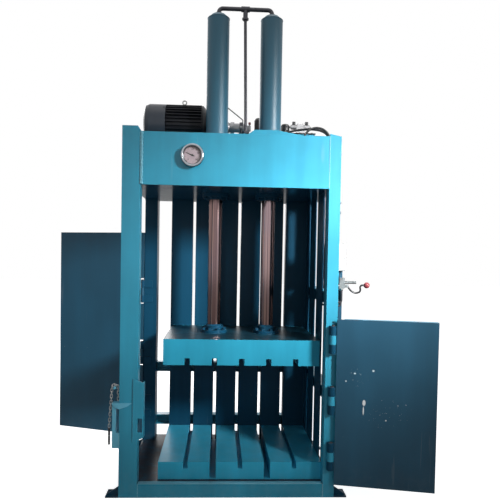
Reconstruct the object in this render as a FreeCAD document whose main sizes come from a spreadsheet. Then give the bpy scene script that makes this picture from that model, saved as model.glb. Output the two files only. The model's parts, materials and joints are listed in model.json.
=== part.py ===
import FreeCAD, Part
import math
import os
from types import SimpleNamespace

import Sketcher
from FreeCAD import Placement, Rotation, Vector

# Driving dimensions of a vertical two-cylinder recycling baler, in millimetres and degrees.
# X runs to the right, Y to the rear and Z up; the origin is the middle of the footprint on the floor.
DIMENSIONS = {
    # frame
    "frame_width": 1424,
    "frame_depth": 980,
    "left_column_width": 120,
    "right_column_width": 76,
    "rear_column_width": 100,
    "rear_column_inset": 34,
    "front_column_depth": 76,
    "column_wall": 8,
    "left_column_rise": 34,
    "right_column_rise": 16,
    "column_top_chamfer": 20,
    "base_height": 90,
    "deck_thickness": 8,
    "rail_depth": 70,
    "rail_wall": 7,
    "beam_bottom": 2049,
    "beam_height": 342,
    "beam_plate": 10,
    "beam_web": 12,
    "stiffener_height": 34,
    "stiffener_length": 390,
    "foot_length": 86,
    "foot_width": 110,
    "foot_plate": 10,
    "foot_gusset": 60,
    "foot_hole": 11,
    # pressing chamber
    "loading_gap": 114,
    "chamber_depth": 850,
    "wall_thickness": 8,
    "side_wall_thickness": 6,
    "wall_flange": 60,
    "wall_slot": 23,
    "side_slot": 65,
    "side_slot_first": 133,
    "side_slot_pitch": 278,
    "wall_rail_height": 80,
    "lower_rail": 640,
    "bottom_rail": 200,
    "upper_rail": 1290,
    "block_setback": 71,
    "block_height": 121,
    "block_skin": 12,
    "block_floor": 6,
    "small_channel": 30,
    "small_channel_depth": 46,
    "large_channel": 42,
    "channel_wall": 10,
    # ram
    "platen_side_gap": 22,
    "platen_top": 1035,
    "platen_height": 175,
    "platen_skin": 12,
    "platen_front_gap": 19,
    "platen_rear_gap": 15,
    "platen_channel": 36,
    "platen_channel_depth": 46,
    "rod_spacing": 390,
    "rod_radius": 50,
    "rod_flange_radius": 96,
    "rod_flange_thickness": 22,
    "rod_collar_radius": 64,
    "rod_collar_height": 40,
    "piston_drop": 11,
    "piston_length": 70,
    "bolt_across": 30,
    "bolt_head": 13,
    "bolt_count": 8,
    # cylinders
    "barrel_radius": 80,
    "barrel_bore": 70,
    "barrel_rise": 927,
    "cap_height": 36,
    "cap_rim": 8,
    "cap_crown_radius": 50,
    "gland_radius": 98,
    "gland_flange": 20,
    "gland_nose_radius": 72,
    "gland_nose": 20,
    "gland_spigot": 80,
    "mount_flange_radius": 125,
    "mount_flange_thickness": 28,
    "fit_gap": 0.3,
    # pipework over the cylinders
    "pipe_radius": 15,
    "pipe_bend": 34,
    "pipe_rise": 34,
    "riser_radius": 11,
    "riser_lean": 16,
    "tee_radius": 20,
    "tee_length": 62,
    "port_nut_across": 46,
    "port_nut_height": 16,
    "manifold_width": 70,
    "manifold_height": 110,
    # power unit on the beam
    "motor_setback": 239.5,
    "motor_reach": 555,
    "motor_radius": 160,
    "motor_core_radius": 140,
    "motor_bore": 92,
    "motor_length": 272,
    "fin_count": 36,
    "fin_thickness": 5,
    "cowl_length": 164,
    "cowl_wall": 3,
    "cowl_round": 40,
    "grille_slots": 20,
    "grille_slot_width": 9,
    "end_shield": 37,
    "shaft_radius": 19,
    "rotor_radius": 88,
    "eye_radius": 15,
    "eye_wire": 4.5,
    "fan_radius": 125,
    "fan_width": 55,
    "fan_blades": 9,
    "motor_rail": 50,
    "foot_pad": 44,
    "bell_length": 205,
    "bell_radius": 125,
    "bell_end_radius": 44,
    "bell_wall": 10,
    "pump_length": 100,
    "pump_radius": 27,
    "pump_rise": 8,
    "relief_block": 38,
    "relief_knob": 9,
    "suction_radius": 12,
    "tank_gap": 56,
    "tank_inset": 72,
    "tank_advance": 85,
    "tank_depth": 320,
    "tank_height": 156,
    "tank_lid": 8,
    "filter_radius": 42,
    "filter_height": 123,
    "filler_radius": 32,
    "filler_height": 84,
    "valve_length": 74,
    "valve_width": 46,
    "solenoid_radius": 19,
    "solenoid_length": 48,
    "hose_radius": 8,
    "hose_foot": 30,
    "hose_rise": 141,
    "hose_swing": 108.5,
    "arch_rise": 133,
    "arch_corner": 59,
    "bulkhead_inset": 202,
    "pressure_line_rise": 62,
    "return_line_rise": 89,
    "pressure_line_drop": 142,
    "return_line_drop": 172,
    "elbow_size": 26,
    "hose_nut_across": 22,
    "pilot_radius": 4,
    "pilot_rise": 327,
    # pressure gauge
    "gauge_inset": 332,
    "gauge_rise": 190,
    "gauge_radius": 74,
    "gauge_depth": 42,
    "gauge_bezel": 9,
    "needle_length": 52,
    # front door
    "front_door_reach": 665,
    "front_door_bottom": 98,
    "front_door_height": 1097,
    "front_door_angle": 12,
    "front_hinge_inset": 34,
    "front_knuckle_radius": 22,
    "front_hinge_offset": 22,
    "knuckle_height": 60,
    "knuckle_gap": 0.5,
    "knuckle_clearance": 4,
    "front_hinge_low": 96,
    "front_hinge_middle": 467,
    "front_hinge_top": 46,
    "hinge_pin_radius": 9,
    "door_skin": 6,
    "door_bar_depth": 44,
    "door_bar_width": 40,
    # side door
    "side_door_reach": 762,
    "side_door_bottom": 130,
    "side_door_height": 1648,
    "side_door_angle": 161.6,
    "side_hinge_outset": 14,
    "side_hinge_forward": 5,
    "side_knuckle_radius": 13,
    "side_hinge_low": 152,
    "side_hinge_middle": 582,
    "side_hinge_top": 385,
    "side_door_lip": 11,
    # latch parts on the front left column
    "latch_bottom": 329,
    "latch_height": 297,
    "latch_reach": 45,
    "latch_slot": 20,
    "latch_arm": 40,
    "latch_block": 100,
    "latch_depth": 50,
    "keeper_bottom": 372,
    "keeper_height": 415,
    "keeper_width": 70,
    "keeper_slot_rise": 63,
    "keeper_slot_height": 92,
    "keeper_reach": 39,
    "keeper_plate": 8,
    "chain_wire": 2,
    "chain_link_width": 16,
    "chain_pitch": 18,
    "chain_links": 24,
    "chain_slack": 0.8,
    "chain_peg_outset": 31,
    "chain_peg_rise": 96,
    "chain_peg_radius": 8,
    "chain_bend": 21,
    "chain_lean": 3.5,
    "locking_pin_radius": 7,
    "locking_pin_length": 105,
    # hand valve beside the right column
    "cabinet_width": 114,
    "cabinet_depth": 140,
    "cabinet_rise": 93,
    "cabinet_height": 201,
    "cabinet_gap": 34,
    "valve_post_outset": 126,
    "valve_post_size": 26,
    "valve_block_width": 40,
    "valve_block_depth": 50,
    "port_spacing": 27,
    "spool_height": 1412,
    "spool_length": 90,
    "lever_rod_radius": 7,
    "lever_eye_radius": 12,
    "lever_eye_width": 16,
    "lever_pin_radius": 5,
    "lever_cheek": 5,
    "knob_radius": 23,
    "knob_outset": 318,
    "knob_rise": 8,
}

doc = FreeCAD.newDocument("RecyclingBaler")
sheet = doc.addObject("Spreadsheet::Sheet", "Sizes")


class Size:
    """A length held twice: as a formula on the sheet's cells and as its number."""

    def __init__(self, formula, number):
        self.formula = formula
        self.number = float(number)

    def join(self, sign, other, number, swapped=False):
        parts = [self.formula, as_size(other).formula]
        if swapped:
            parts.reverse()
        return Size(f"({parts[0]} {sign} {parts[1]})", number)

    def __add__(self, other):
        return self.join("+", other, self.number + as_size(other).number)

    def __sub__(self, other):
        return self.join("-", other, self.number - as_size(other).number)

    def __mul__(self, other):
        return self.join("*", other, self.number * as_size(other).number)

    def __truediv__(self, other):
        return self.join("/", other, self.number / as_size(other).number)

    def __rsub__(self, other):
        return self.join("-", other, as_size(other).number - self.number, swapped=True)

    def __neg__(self):
        return Size(f"(0 - {self.formula})", -self.number)

    def __float__(self):
        return self.number

    __radd__ = __add__
    __rmul__ = __mul__


def as_size(value):
    return value if isinstance(value, Size) else Size(repr(value), value)


def fill_sheet():
    """Write each driving dimension into its own named cell."""
    named = SimpleNamespace()
    for row, (alias, number) in enumerate(DIMENSIONS.items(), start=1):
        sheet.set(f"A{row}", alias.replace("_", " "))
        sheet.set(f"B{row}", str(number))
        sheet.setAlias(f"B{row}", alias)
        setattr(named, alias, Size("Sizes." + alias, number))
    return named


d = fill_sheet()
doc.recompute()

# Planes and centre lines that several pieces share.
LEFT = -d.frame_width / 2
RIGHT = d.frame_width / 2
FRONT = -d.frame_depth / 2
REAR = d.frame_depth / 2
COLUMN_BACK = FRONT + d.front_column_depth
REAR_PLANE = FRONT + d.chamber_depth
LEFT_INNER = LEFT + d.left_column_width
RIGHT_INNER = RIGHT - d.right_column_width
REAR_POST_LEFT = LEFT + d.rear_column_inset
REAR_POST_INNER = REAR_POST_LEFT + d.rear_column_width
CHAMBER_LEFT = REAR_POST_INNER + d.loading_gap
CHAMBER_WIDTH = RIGHT_INNER - CHAMBER_LEFT
CHAMBER_MIDDLE = RIGHT_INNER - CHAMBER_WIDTH / 2
BLOCK_FRONT = FRONT + d.block_setback
CHANNEL_PITCH = CHAMBER_WIDTH / 6
BEAM_TOP = d.beam_bottom + d.beam_height
CYLINDER_Y = (REAR_PLANE + BLOCK_FRONT) / 2
CYLINDER_X = [CHAMBER_MIDDLE - d.rod_spacing / 2, CHAMBER_MIDDLE + d.rod_spacing / 2]
BARREL_TOP = BEAM_TOP + d.barrel_rise
PISTON_TOP = BEAM_TOP - d.piston_drop
BARREL_END = BARREL_TOP + d.cap_height
MOTOR_LEFT = CYLINDER_X[0] - d.motor_reach
MOTOR_Y = CYLINDER_Y + d.motor_setback
MOTOR_Z = BEAM_TOP + d.motor_rail + d.motor_radius
PUMP_START = MOTOR_LEFT + d.cowl_length + d.motor_length + d.end_shield + d.bell_length
TANK_LEFT = PUMP_START + d.pump_length + d.tank_gap
TANK_RIGHT = RIGHT - d.tank_inset
TANK_FRONT = MOTOR_Y - d.tank_advance
TANK_TOP = BEAM_TOP + d.tank_height + d.tank_lid
TANK_PORTS_Y = TANK_FRONT + d.tank_depth * 0.28
CONTROL_X = TANK_LEFT + (TANK_RIGHT - TANK_LEFT) * 0.71
PUMP_PORT_X = PUMP_START + d.pump_length * 0.6
MANIFOLD_X = CHAMBER_MIDDLE + d.riser_lean
MANIFOLD_PORT = (MANIFOLD_X + d.elbow_size * 0.75, CYLINDER_Y + d.manifold_width / 2 + 27,
                 BEAM_TOP + d.manifold_height * 0.72)
HOSE_FOOT = BEAM_TOP + d.hose_foot
PIPE_X = RIGHT + d.cabinet_gap * 0.5
GAUGE_X = LEFT_INNER + d.gauge_inset
GAUGE_Z = d.beam_bottom + d.gauge_rise
CHAIN_Y = FRONT + d.latch_depth / 2
LATCH_TOP = d.latch_bottom + d.latch_height
CHAIN_PEG = (LEFT - d.chain_peg_outset, CHAIN_Y, LATCH_TOP + d.chain_peg_rise)
VALVE_POST = RIGHT + d.valve_post_outset
VALVE_BACK = -d.valve_post_size / 2
PORTS_Y = [VALVE_BACK - d.valve_block_depth / 2 - d.port_spacing / 2,
           VALVE_BACK - d.valve_block_depth / 2 + d.port_spacing / 2]
BULKHEAD_X = PIPE_X - d.bulkhead_inset
CABINET_BOTTOM = d.spool_height + d.cabinet_rise
HINGE_LENGTH = d.knuckle_height * 3 + d.knuckle_gap * 2

TURNS = {"X": Rotation(Vector(0, 1, 0), 90), "Y": Rotation(Vector(1, 0, 0), -90), "Z": Rotation()}
finished = []


def place(item, at, turn=None):
    """Bind where a piece stands to its three formulas, after an optional fixed turn."""
    if turn is not None:
        item.Placement = Placement(Vector(), turn)
    for axis, formula in zip("xyz", at):
        item.setExpression("Placement.Base." + axis, as_size(formula).formula)
    return item


def finish(item, name):
    """Register a finished sub-part under its node name."""
    item.Label = name
    finished.append(item)
    return item


def box(corner, size):
    """A straight block from its low corner."""
    item = doc.addObject("Part::Box", "Block")
    for side, formula in zip(("Length", "Width", "Height"), size):
        item.setExpression(side, as_size(formula).formula)
    return place(item, corner)


def span(low, high):
    """A straight block between two opposite corners."""
    return box(low, [b - a for a, b in zip((as_size(v) for v in low), high)])


def bar(start, radius, length, axis="Z"):
    """A round bar along one axis."""
    item = doc.addObject("Part::Cylinder", "Bar")
    item.setExpression("Radius", as_size(radius).formula)
    item.setExpression("Height", as_size(length).formula)
    return place(item, start, TURNS[axis])


def hexagon(start, across, height, axis="Z"):
    """A hexagonal bolt head or nut."""
    item = doc.addObject("Part::Prism", "Hexagon")
    item.Polygon = 6
    item.setExpression("Circumradius", (as_size(across) / math.sqrt(3)).formula)
    item.setExpression("Height", as_size(height).formula)
    return place(item, start, TURNS[axis])


def fuse(*shapes):
    item = doc.addObject("Part::MultiFuse", "Weldment")
    item.Shapes = list(shapes)
    return item


def cut(base, *tools):
    item = doc.addObject("Part::Cut", "Cut")
    item.Base = base
    item.Tool = tools[0] if len(tools) == 1 else fuse(*tools)
    return item


def group(*shapes):
    """Separate solids that share one node."""
    item = doc.addObject("Part::Compound", "Group")
    item.Links = list(shapes)
    return item


def draw(owner, plane, loops, offset):
    """A sketch on one of the body's own planes; each loop is a list of corner formulas."""
    sketch = owner.newObject("Sketcher::SketchObject", "Outline")
    role = plane + "_Plane"
    planes = [item for item in owner.Origin.OriginFeatures if item.Role == role]
    sketch.AttachmentSupport = [(planes[0], "")]
    sketch.MapMode = "FlatFace"
    sketch.setExpression("AttachmentOffset.Base.z", as_size(offset).formula)
    for loop in loops:
        corners = [(as_size(u), as_size(v)) for u, v in loop]
        points = [Vector(u.number, v.number, 0) for u, v in corners]
        first = sketch.GeometryCount
        for index, point in enumerate(points):
            sketch.addGeometry(Part.LineSegment(point, points[(index + 1) % len(points)]))
        for index, (u, v) in enumerate(corners):
            line = first + index
            following = first + (index + 1) % len(corners)
            sketch.addConstraint(Sketcher.Constraint("Coincident", line, 2, following, 1))
            for kind, formula in (("DistanceX", u), ("DistanceY", v)):
                number = sketch.addConstraint(Sketcher.Constraint(kind, -1, 1, line, 1, formula.number))
                sketch.setExpression(f"Constraints[{number}]", formula.formula)
    return sketch


def new_body():
    return doc.addObject("PartDesign::Body", "Body")


def pad(owner, plane, loops, start, end):
    """Add a straight pad of an outline between two places on the plane's axis."""
    # The XZ plane faces the front, so a pad on it grows from its rear end forwards.
    offset = -as_size(end) if plane == "XZ" else as_size(start)
    feature = owner.newObject("PartDesign::Pad", "Pad")
    feature.Profile = draw(owner, plane, loops, offset)
    feature.setExpression("Length", (as_size(end) - start).formula)
    return feature


def pocket(owner, plane, loops, start, end):
    """Remove a straight pocket of an outline between two places on the plane's axis."""
    # A pocket runs against its plane's normal, so it starts where a pad would end.
    offset = -as_size(start) if plane == "XZ" else as_size(end)
    feature = owner.newObject("PartDesign::Pocket", "Pocket")
    feature.Profile = draw(owner, plane, loops, offset)
    feature.setExpression("Length", (as_size(end) - start).formula)
    return feature


def prism(plane, loops, start, end):
    owner = new_body()
    pad(owner, plane, loops, start, end)
    return owner


def turned(outline, at, axis="Z"):
    """A turned piece from its half outline of radius and height."""
    owner = new_body()
    feature = owner.newObject("PartDesign::Revolution", "Turning")
    profile = draw(owner, "XZ", [outline], 0)
    feature.Profile = profile
    feature.ReferenceAxis = (profile, ["V_Axis"])
    feature.Angle = 360
    return place(owner, at, TURNS[axis])


def around(owner, feature, axis_role, count):
    """Repeat a feature of a body all round one of its own axes."""
    pattern = owner.newObject("PartDesign::PolarPattern", "Ring")
    pattern.Originals = [feature]
    axis = [item for item in owner.Origin.OriginFeatures if item.Role == axis_role][0]
    pattern.Axis = (axis, [""])
    pattern.Angle = 360
    pattern.setExpression("Occurrences", count.formula)
    owner.Tip = pattern
    return pattern


def ring_of(count, radius, make):
    """Pieces made at equal steps round a circle; make takes the two offsets of each."""
    steps = range(int(count.number))
    angles = [2 * math.pi * (step + 0.5) / len(steps) for step in steps]
    return [make(radius * math.cos(angle), radius * math.sin(angle)) for angle in angles]


def rectangle(u_low, v_low, u_high, v_high):
    return [(u_low, v_low), (u_high, v_low), (u_high, v_high), (u_low, v_high)]


def channel(web, tip, low, high, wall, inward=1):
    """Outline of a channel section with its web at one side and two flanges."""
    inner = web + inward * wall
    return [
        (web, low), (tip, low), (tip, low + wall), (inner, low + wall),
        (inner, high - wall), (tip, high - wall), (tip, high), (web, high),
    ]


# ---------------------------------------------------------------- base and columns

def base_rails():
    """Channel rails on the floor between the columns, and two under the cylinders."""
    top = d.base_height - d.deck_thickness
    wall = d.rail_wall
    depth = d.rail_depth
    rails = [
        prism("YZ", [channel(FRONT, FRONT + depth, 0, top, wall)], LEFT_INNER, RIGHT_INNER),
        prism("YZ", [channel(REAR, REAR - depth, 0, top, wall, -1)], REAR_POST_INNER, RIGHT_INNER),
        prism("XZ", [channel(REAR_POST_LEFT, REAR_POST_LEFT + depth, 0, top, wall)],
              COLUMN_BACK, REAR_PLANE),
        prism("XZ", [channel(RIGHT, RIGHT - depth, 0, top, wall, -1)], COLUMN_BACK, REAR_PLANE),
    ]
    for x in CYLINDER_X:
        web = x - depth / 2
        rails.append(prism("XZ", [channel(web, web + depth, 0, top, wall)],
                           FRONT + depth, REAR - depth))
    finish(group(*rails), "base_rails")


def notched_plate(front):
    """Outline of a plate that fills the frame and leaves room for the front columns."""
    return [
        (LEFT_INNER, front), (RIGHT_INNER, front), (RIGHT_INNER, COLUMN_BACK),
        (RIGHT, COLUMN_BACK), (RIGHT, REAR), (REAR_POST_LEFT, REAR),
        (REAR_POST_LEFT, COLUMN_BACK), (LEFT_INNER, COLUMN_BACK),
    ]


def deck_plate():
    """Floor plate on the rails; it stops at all four columns."""
    outline = [
        (LEFT_INNER, FRONT), (RIGHT_INNER, FRONT), (RIGHT_INNER, COLUMN_BACK),
        (RIGHT, COLUMN_BACK), (RIGHT, REAR_PLANE), (RIGHT_INNER, REAR_PLANE),
        (RIGHT_INNER, REAR), (REAR_POST_INNER, REAR), (REAR_POST_INNER, REAR_PLANE),
        (REAR_POST_LEFT, REAR_PLANE), (REAR_POST_LEFT, COLUMN_BACK), (LEFT_INNER, COLUMN_BACK),
    ]
    plate = prism("XY", [outline], d.base_height - d.deck_thickness, d.base_height)
    finish(plate, "deck_plate")


def column(outline, x_low, x_high, y_low, y_high, top):
    """A box-section column: its front outline padded in depth and hollowed from the foot."""
    owner = prism("XZ", [outline], y_low, y_high)
    wall = d.column_wall
    hollow = rectangle(x_low + wall, y_low + wall, x_high - wall, y_high - wall)
    pocket(owner, "XY", [hollow], 0, top - d.column_top_chamfer * 2)
    return owner


def columns():
    chamfer = d.column_top_chamfer
    top = BEAM_TOP + d.left_column_rise
    outline = [(LEFT, 0), (LEFT_INNER, 0), (LEFT_INNER, top - chamfer * 1.5),
               (LEFT_INNER - chamfer, top), (LEFT, top)]
    finish(column(outline, LEFT, LEFT_INNER, FRONT, COLUMN_BACK, top), "front_left_column")
    top = BEAM_TOP + d.right_column_rise
    outline = [(RIGHT_INNER, 0), (RIGHT, 0), (RIGHT, top - chamfer * 0.8), (RIGHT_INNER, top)]
    finish(column(outline, RIGHT_INNER, RIGHT, FRONT, COLUMN_BACK, top), "front_right_column")
    top = d.beam_bottom
    rear = [column(rectangle(low, 0, high, top), low, high, REAR_PLANE, REAR, top)
            for low, high in ((REAR_POST_LEFT, REAR_POST_INNER), (RIGHT_INNER, RIGHT))]
    finish(group(*rear), "rear_columns")


def anchor_feet():
    """Four floor plates with a bolt hole and a triangular gusset, two on each side."""
    feet = []
    width = d.foot_width
    for side, edge, rear_edge in ((-1, LEFT, REAR_POST_LEFT), (1, RIGHT, RIGHT)):
        tip = edge + side * d.foot_length
        hole_x = edge + side * d.foot_length * 0.6
        for root, start, hole_share in ((edge, FRONT, 0.7), (rear_edge, REAR - width, 0.3)):
            low, high = (tip, root) if side < 0 else (root, tip)
            plate = span((low, start, 0), (high, start + width, d.foot_plate))
            hole = bar((hole_x, start + width * hole_share, -1), d.foot_hole, d.foot_plate + 2)
            gusset_start = start + width * (0.9 - hole_share)
            gusset = prism("XZ", [[(root, d.foot_plate), (tip, d.foot_plate),
                                   (root, d.foot_plate + d.foot_gusset)]],
                           gusset_start, gusset_start + d.foot_plate)
            feet.append(cut(fuse(plate, gusset), hole))
    finish(group(*feet), "anchor_feet")


# ---------------------------------------------------------------- top beam

def barrel_holes(low, high):
    return [bar((x, CYLINDER_Y, low - 1), d.barrel_radius + d.fit_gap, high - low + 2)
            for x in CYLINDER_X]


def top_beam():
    """The box beam over the chamber that carries the cylinders and the power unit."""
    plate = d.beam_plate
    inside_front = FRONT + plate
    finish(span((LEFT_INNER, FRONT, d.beam_bottom), (RIGHT_INNER, inside_front, BEAM_TOP)),
           "beam_front_plate")
    low = d.beam_bottom
    bottom = prism("XY", [notched_plate(inside_front)], low, low + plate)
    finish(cut(bottom, *barrel_holes(low, low + plate)), "beam_bottom_plate")
    top = prism("XY", [notched_plate(inside_front)], BEAM_TOP - plate, BEAM_TOP)
    start = CYLINDER_X[0] + (CYLINDER_X[1] - CYLINDER_X[0]) * 0.5 + 9
    rise = d.stiffener_height
    stiffener = prism("XZ", [[(start, BEAM_TOP), (start + d.stiffener_length, BEAM_TOP),
                              (start + d.stiffener_length * 0.5, BEAM_TOP + rise),
                              (start + rise * 1.4, BEAM_TOP + rise)]],
                      inside_front + plate, inside_front + plate * 2)
    finish(fuse(cut(top, *barrel_holes(BEAM_TOP - plate, BEAM_TOP)), stiffener), "beam_top_plate")
    low = low + plate
    high = BEAM_TOP - plate
    webs = [
        span((REAR_POST_LEFT, REAR - plate, low), (RIGHT, REAR, high)),
        span((REAR_POST_LEFT, COLUMN_BACK, low), (REAR_POST_LEFT + plate, REAR - plate, high)),
        span((RIGHT - plate, COLUMN_BACK, low), (RIGHT, REAR - plate, high)),
    ]
    clear = d.barrel_radius * 1.5
    for x in (CYLINDER_X[0] - clear, CYLINDER_X[0] + clear, CYLINDER_X[1] - clear,
              CYLINDER_X[1] + clear):
        half = d.beam_web / 2
        webs.append(span((x - half, inside_front, low), (x + half, REAR - plate, high)))
    finish(group(*webs), "beam_webs")


# ---------------------------------------------------------------- chamber walls and floor block

def rear_panels():
    """Six folded channels that leave a strapping slot between each two."""
    panels = []
    for index in range(6):
        low = CHAMBER_LEFT + CHANNEL_PITCH * index + (d.wall_slot / 2 if index else 0)
        high = CHAMBER_LEFT + CHANNEL_PITCH * (index + 1) - (d.wall_slot / 2 if index < 5 else 0)
        wall = d.wall_thickness
        back = REAR_PLANE + d.wall_flange
        front = REAR_PLANE
        outline = [
            (low, front), (high, front), (high, back), (high - wall, back),
            (high - wall, front + wall), (low + wall, front + wall), (low + wall, back), (low, back),
        ]
        panels.append(prism("XY", [outline], d.base_height, d.beam_bottom))
    finish(group(*panels), "rear_panels")


def side_slots():
    """Low and high edge of each slot in the right wall, from front to rear."""
    middles = [FRONT + d.side_slot_first + d.side_slot_pitch * index for index in range(3)]
    return [(middle - d.side_slot / 2, middle + d.side_slot / 2) for middle in middles]


def right_panels():
    """Flat plates of the right wall with three open slots between them."""
    edges = [COLUMN_BACK]
    for low, high in side_slots():
        edges += [low, high]
    edges.append(REAR_PLANE)
    panels = [
        span((RIGHT_INNER, edges[index], d.base_height),
             (RIGHT_INNER + d.side_wall_thickness, edges[index + 1], d.beam_bottom))
        for index in (0, 2, 4, 6)
    ]
    finish(group(*panels), "right_panels")


def wall_rails():
    """Channels that tie the wall panels to the columns, behind and beside the chamber."""
    wall = d.rail_wall
    high = d.wall_rail_height
    rails = []
    for z in (d.bottom_rail, d.lower_rail):
        outline = channel(REAR, REAR_PLANE + d.wall_flange, z, z + high, wall, -1)
        rails.append(prism("YZ", [outline], REAR_POST_INNER, RIGHT_INNER))
    for z in (d.lower_rail, d.upper_rail):
        outline = channel(RIGHT, RIGHT_INNER + d.side_wall_thickness, z, z + high, wall, -1)
        rails.append(prism("XZ", [outline], COLUMN_BACK, REAR_PLANE))
    finish(group(*rails), "wall_rails")


def channel_half(index):
    """Half the width of strapping channel 1 to 5: narrow and wide ones take turns."""
    return (d.small_channel if index % 2 else d.large_channel) / 2


def floor_block():
    """The raised press floor: hollow cells between five open strapping channels."""
    bottom = d.base_height
    top = bottom + d.block_height
    outline = [(CHAMBER_LEFT, bottom), (RIGHT_INNER, bottom), (RIGHT_INNER, top)]
    for index in range(5, 0, -1):
        x = CHAMBER_LEFT + CHANNEL_PITCH * index
        half = channel_half(index)
        low = top - d.small_channel_depth if index % 2 else bottom + d.block_floor
        outline += [(x + half, top), (x + half, low), (x - half, low), (x - half, top)]
    outline.append((CHAMBER_LEFT, top))
    cells = []
    for index in range(6):
        left = CHAMBER_LEFT + CHANNEL_PITCH * index
        right = left + CHANNEL_PITCH
        left = left + d.channel_wall + (channel_half(index) if index else 0)
        right = right - d.channel_wall - (channel_half(index + 1) if index < 5 else 0)
        cells.append(rectangle(left, bottom + d.block_floor, right, top - d.block_skin))
    owner = prism("XZ", [outline] + cells, BLOCK_FRONT + d.block_skin, REAR_PLANE)
    pad(owner, "XZ", [outline], BLOCK_FRONT, BLOCK_FRONT + d.block_skin)
    finish(owner, "floor_block")


# ---------------------------------------------------------------- ram

def platen():
    """The press head: a fabricated box with five strapping channels in its face."""
    left = CHAMBER_MIDDLE - (CHAMBER_WIDTH / 2 - d.platen_side_gap)
    right = CHAMBER_MIDDLE + (CHAMBER_WIDTH / 2 - d.platen_side_gap)
    top = d.platen_top
    bottom = top - d.platen_height
    half = d.platen_channel / 2
    roof = bottom + d.platen_channel_depth
    outline = [(left, top), (left, bottom)]
    for index in range(1, 6):
        x = CHAMBER_LEFT + CHANNEL_PITCH * index
        outline += [(x - half, bottom), (x - half, roof), (x + half, roof), (x + half, bottom)]
    outline += [(right, bottom), (right, top)]
    cells = []
    for index in range(6):
        low = left + d.platen_skin if index == 0 else (
            CHAMBER_LEFT + CHANNEL_PITCH * index + half + d.channel_wall)
        high = right - d.platen_skin if index == 5 else (
            CHAMBER_LEFT + CHANNEL_PITCH * (index + 1) - half - d.channel_wall)
        cells.append(rectangle(low, bottom + d.platen_skin, high, top - d.platen_skin))
    front = BLOCK_FRONT + d.platen_front_gap
    back = REAR_PLANE - d.platen_rear_gap - d.platen_skin
    owner = prism("XZ", [outline] + cells, front + d.platen_skin, back)
    pad(owner, "XZ", [outline], front, front + d.platen_skin)
    finish(owner, "platen")
    finish(prism("XZ", [outline], back, back + d.platen_skin), "platen_rear_plate")


def ram_rods():
    """Two chromed rods, each with a bolted foot flange and a piston."""
    rods = []
    flanges = []
    pistons = []
    rod = d.rod_radius
    for side, x in zip(("left", "right"), CYLINDER_X):
        length = PISTON_TOP - d.platen_top
        finish(bar((x, CYLINDER_Y, d.platen_top), rod, length), side + "_rod")
        inner = rod + d.fit_gap
        thick = d.rod_flange_thickness
        collar = thick + d.rod_collar_height
        collar_radius = d.rod_collar_radius
        slope = d.rod_collar_height * 0.3
        flanges.append(turned([
            (inner, 0), (d.rod_flange_radius, 0), (d.rod_flange_radius, thick),
            (collar_radius, thick), (collar_radius, collar - slope),
            (collar_radius - slope, collar), (inner, collar),
        ], (x, CYLINDER_Y, d.platen_top)))
        circle = (d.rod_flange_radius + collar_radius) / 2
        flanges += ring_of(d.bolt_count, circle, lambda u, v: hexagon(
            (x + u, CYLINDER_Y + v, d.platen_top + thick), d.bolt_across * 0.8, d.bolt_head))
        bore = d.barrel_bore - d.fit_gap
        groove = d.piston_length / 7
        base = PISTON_TOP - d.piston_length
        steps = [(inner, 0), (bore, 0)]
        for index in (2, 4):
            steps += [(bore, groove * index), (bore - 5, groove * index),
                      (bore - 5, groove * (index + 1)), (bore, groove * (index + 1))]
        steps += [(bore, d.piston_length), (inner, d.piston_length)]
        pistons.append(turned(steps, (x, CYLINDER_Y, base)))
    finish(group(*flanges), "rod_flanges")
    finish(group(*pistons), "pistons")


def cylinders():
    """Two long barrels through the beam, with glands below and mounting flanges above."""
    glands = []
    mounts = []
    for side, x in zip(("left", "right"), CYLINDER_X):
        outer = d.barrel_radius
        bore = d.barrel_bore
        start = d.beam_bottom
        top = BARREL_TOP - start
        finish(turned([
            (bore, 0), (outer, 0), (outer, top + d.cap_rim),
            (d.cap_crown_radius, top + d.cap_height), (0, top + d.cap_height), (0, top), (bore, top),
        ], (x, CYLINDER_Y, start)), side + "_barrel")
        inner = d.rod_radius + d.fit_gap
        nose = d.gland_flange + d.gland_nose
        glands.append(turned([
            (inner, 0), (d.gland_nose_radius, 0), (d.gland_nose_radius, d.gland_nose),
            (d.gland_radius, d.gland_nose), (d.gland_radius, nose), (bore - d.fit_gap, nose),
            (bore - d.fit_gap, nose + d.gland_spigot), (inner, nose + d.gland_spigot),
        ], (x, CYLINDER_Y, start - nose)))
        circle = (d.gland_radius + d.gland_nose_radius) / 2
        glands += ring_of(d.bolt_count, circle, lambda u, v: hexagon(
            (x + u, CYLINDER_Y + v, start - nose + d.gland_nose - d.bolt_head),
            d.bolt_across * 0.7, d.bolt_head))
        flange = cut(bar((x, CYLINDER_Y, BEAM_TOP), d.mount_flange_radius, d.mount_flange_thickness),
                     bar((x, CYLINDER_Y, BEAM_TOP - 1), outer + d.fit_gap,
                         d.mount_flange_thickness + 2))
        mounts.append(flange)
        circle = (d.mount_flange_radius + outer) / 2
        mounts += ring_of(d.bolt_count, circle, lambda u, v: hexagon(
            (x + u, CYLINDER_Y + v, BEAM_TOP + d.mount_flange_thickness),
            d.bolt_across, d.bolt_head))
    finish(group(*glands), "cylinder_glands")
    finish(group(*mounts), "mount_flanges")


# ---------------------------------------------------------------- pipes and hoses

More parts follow.
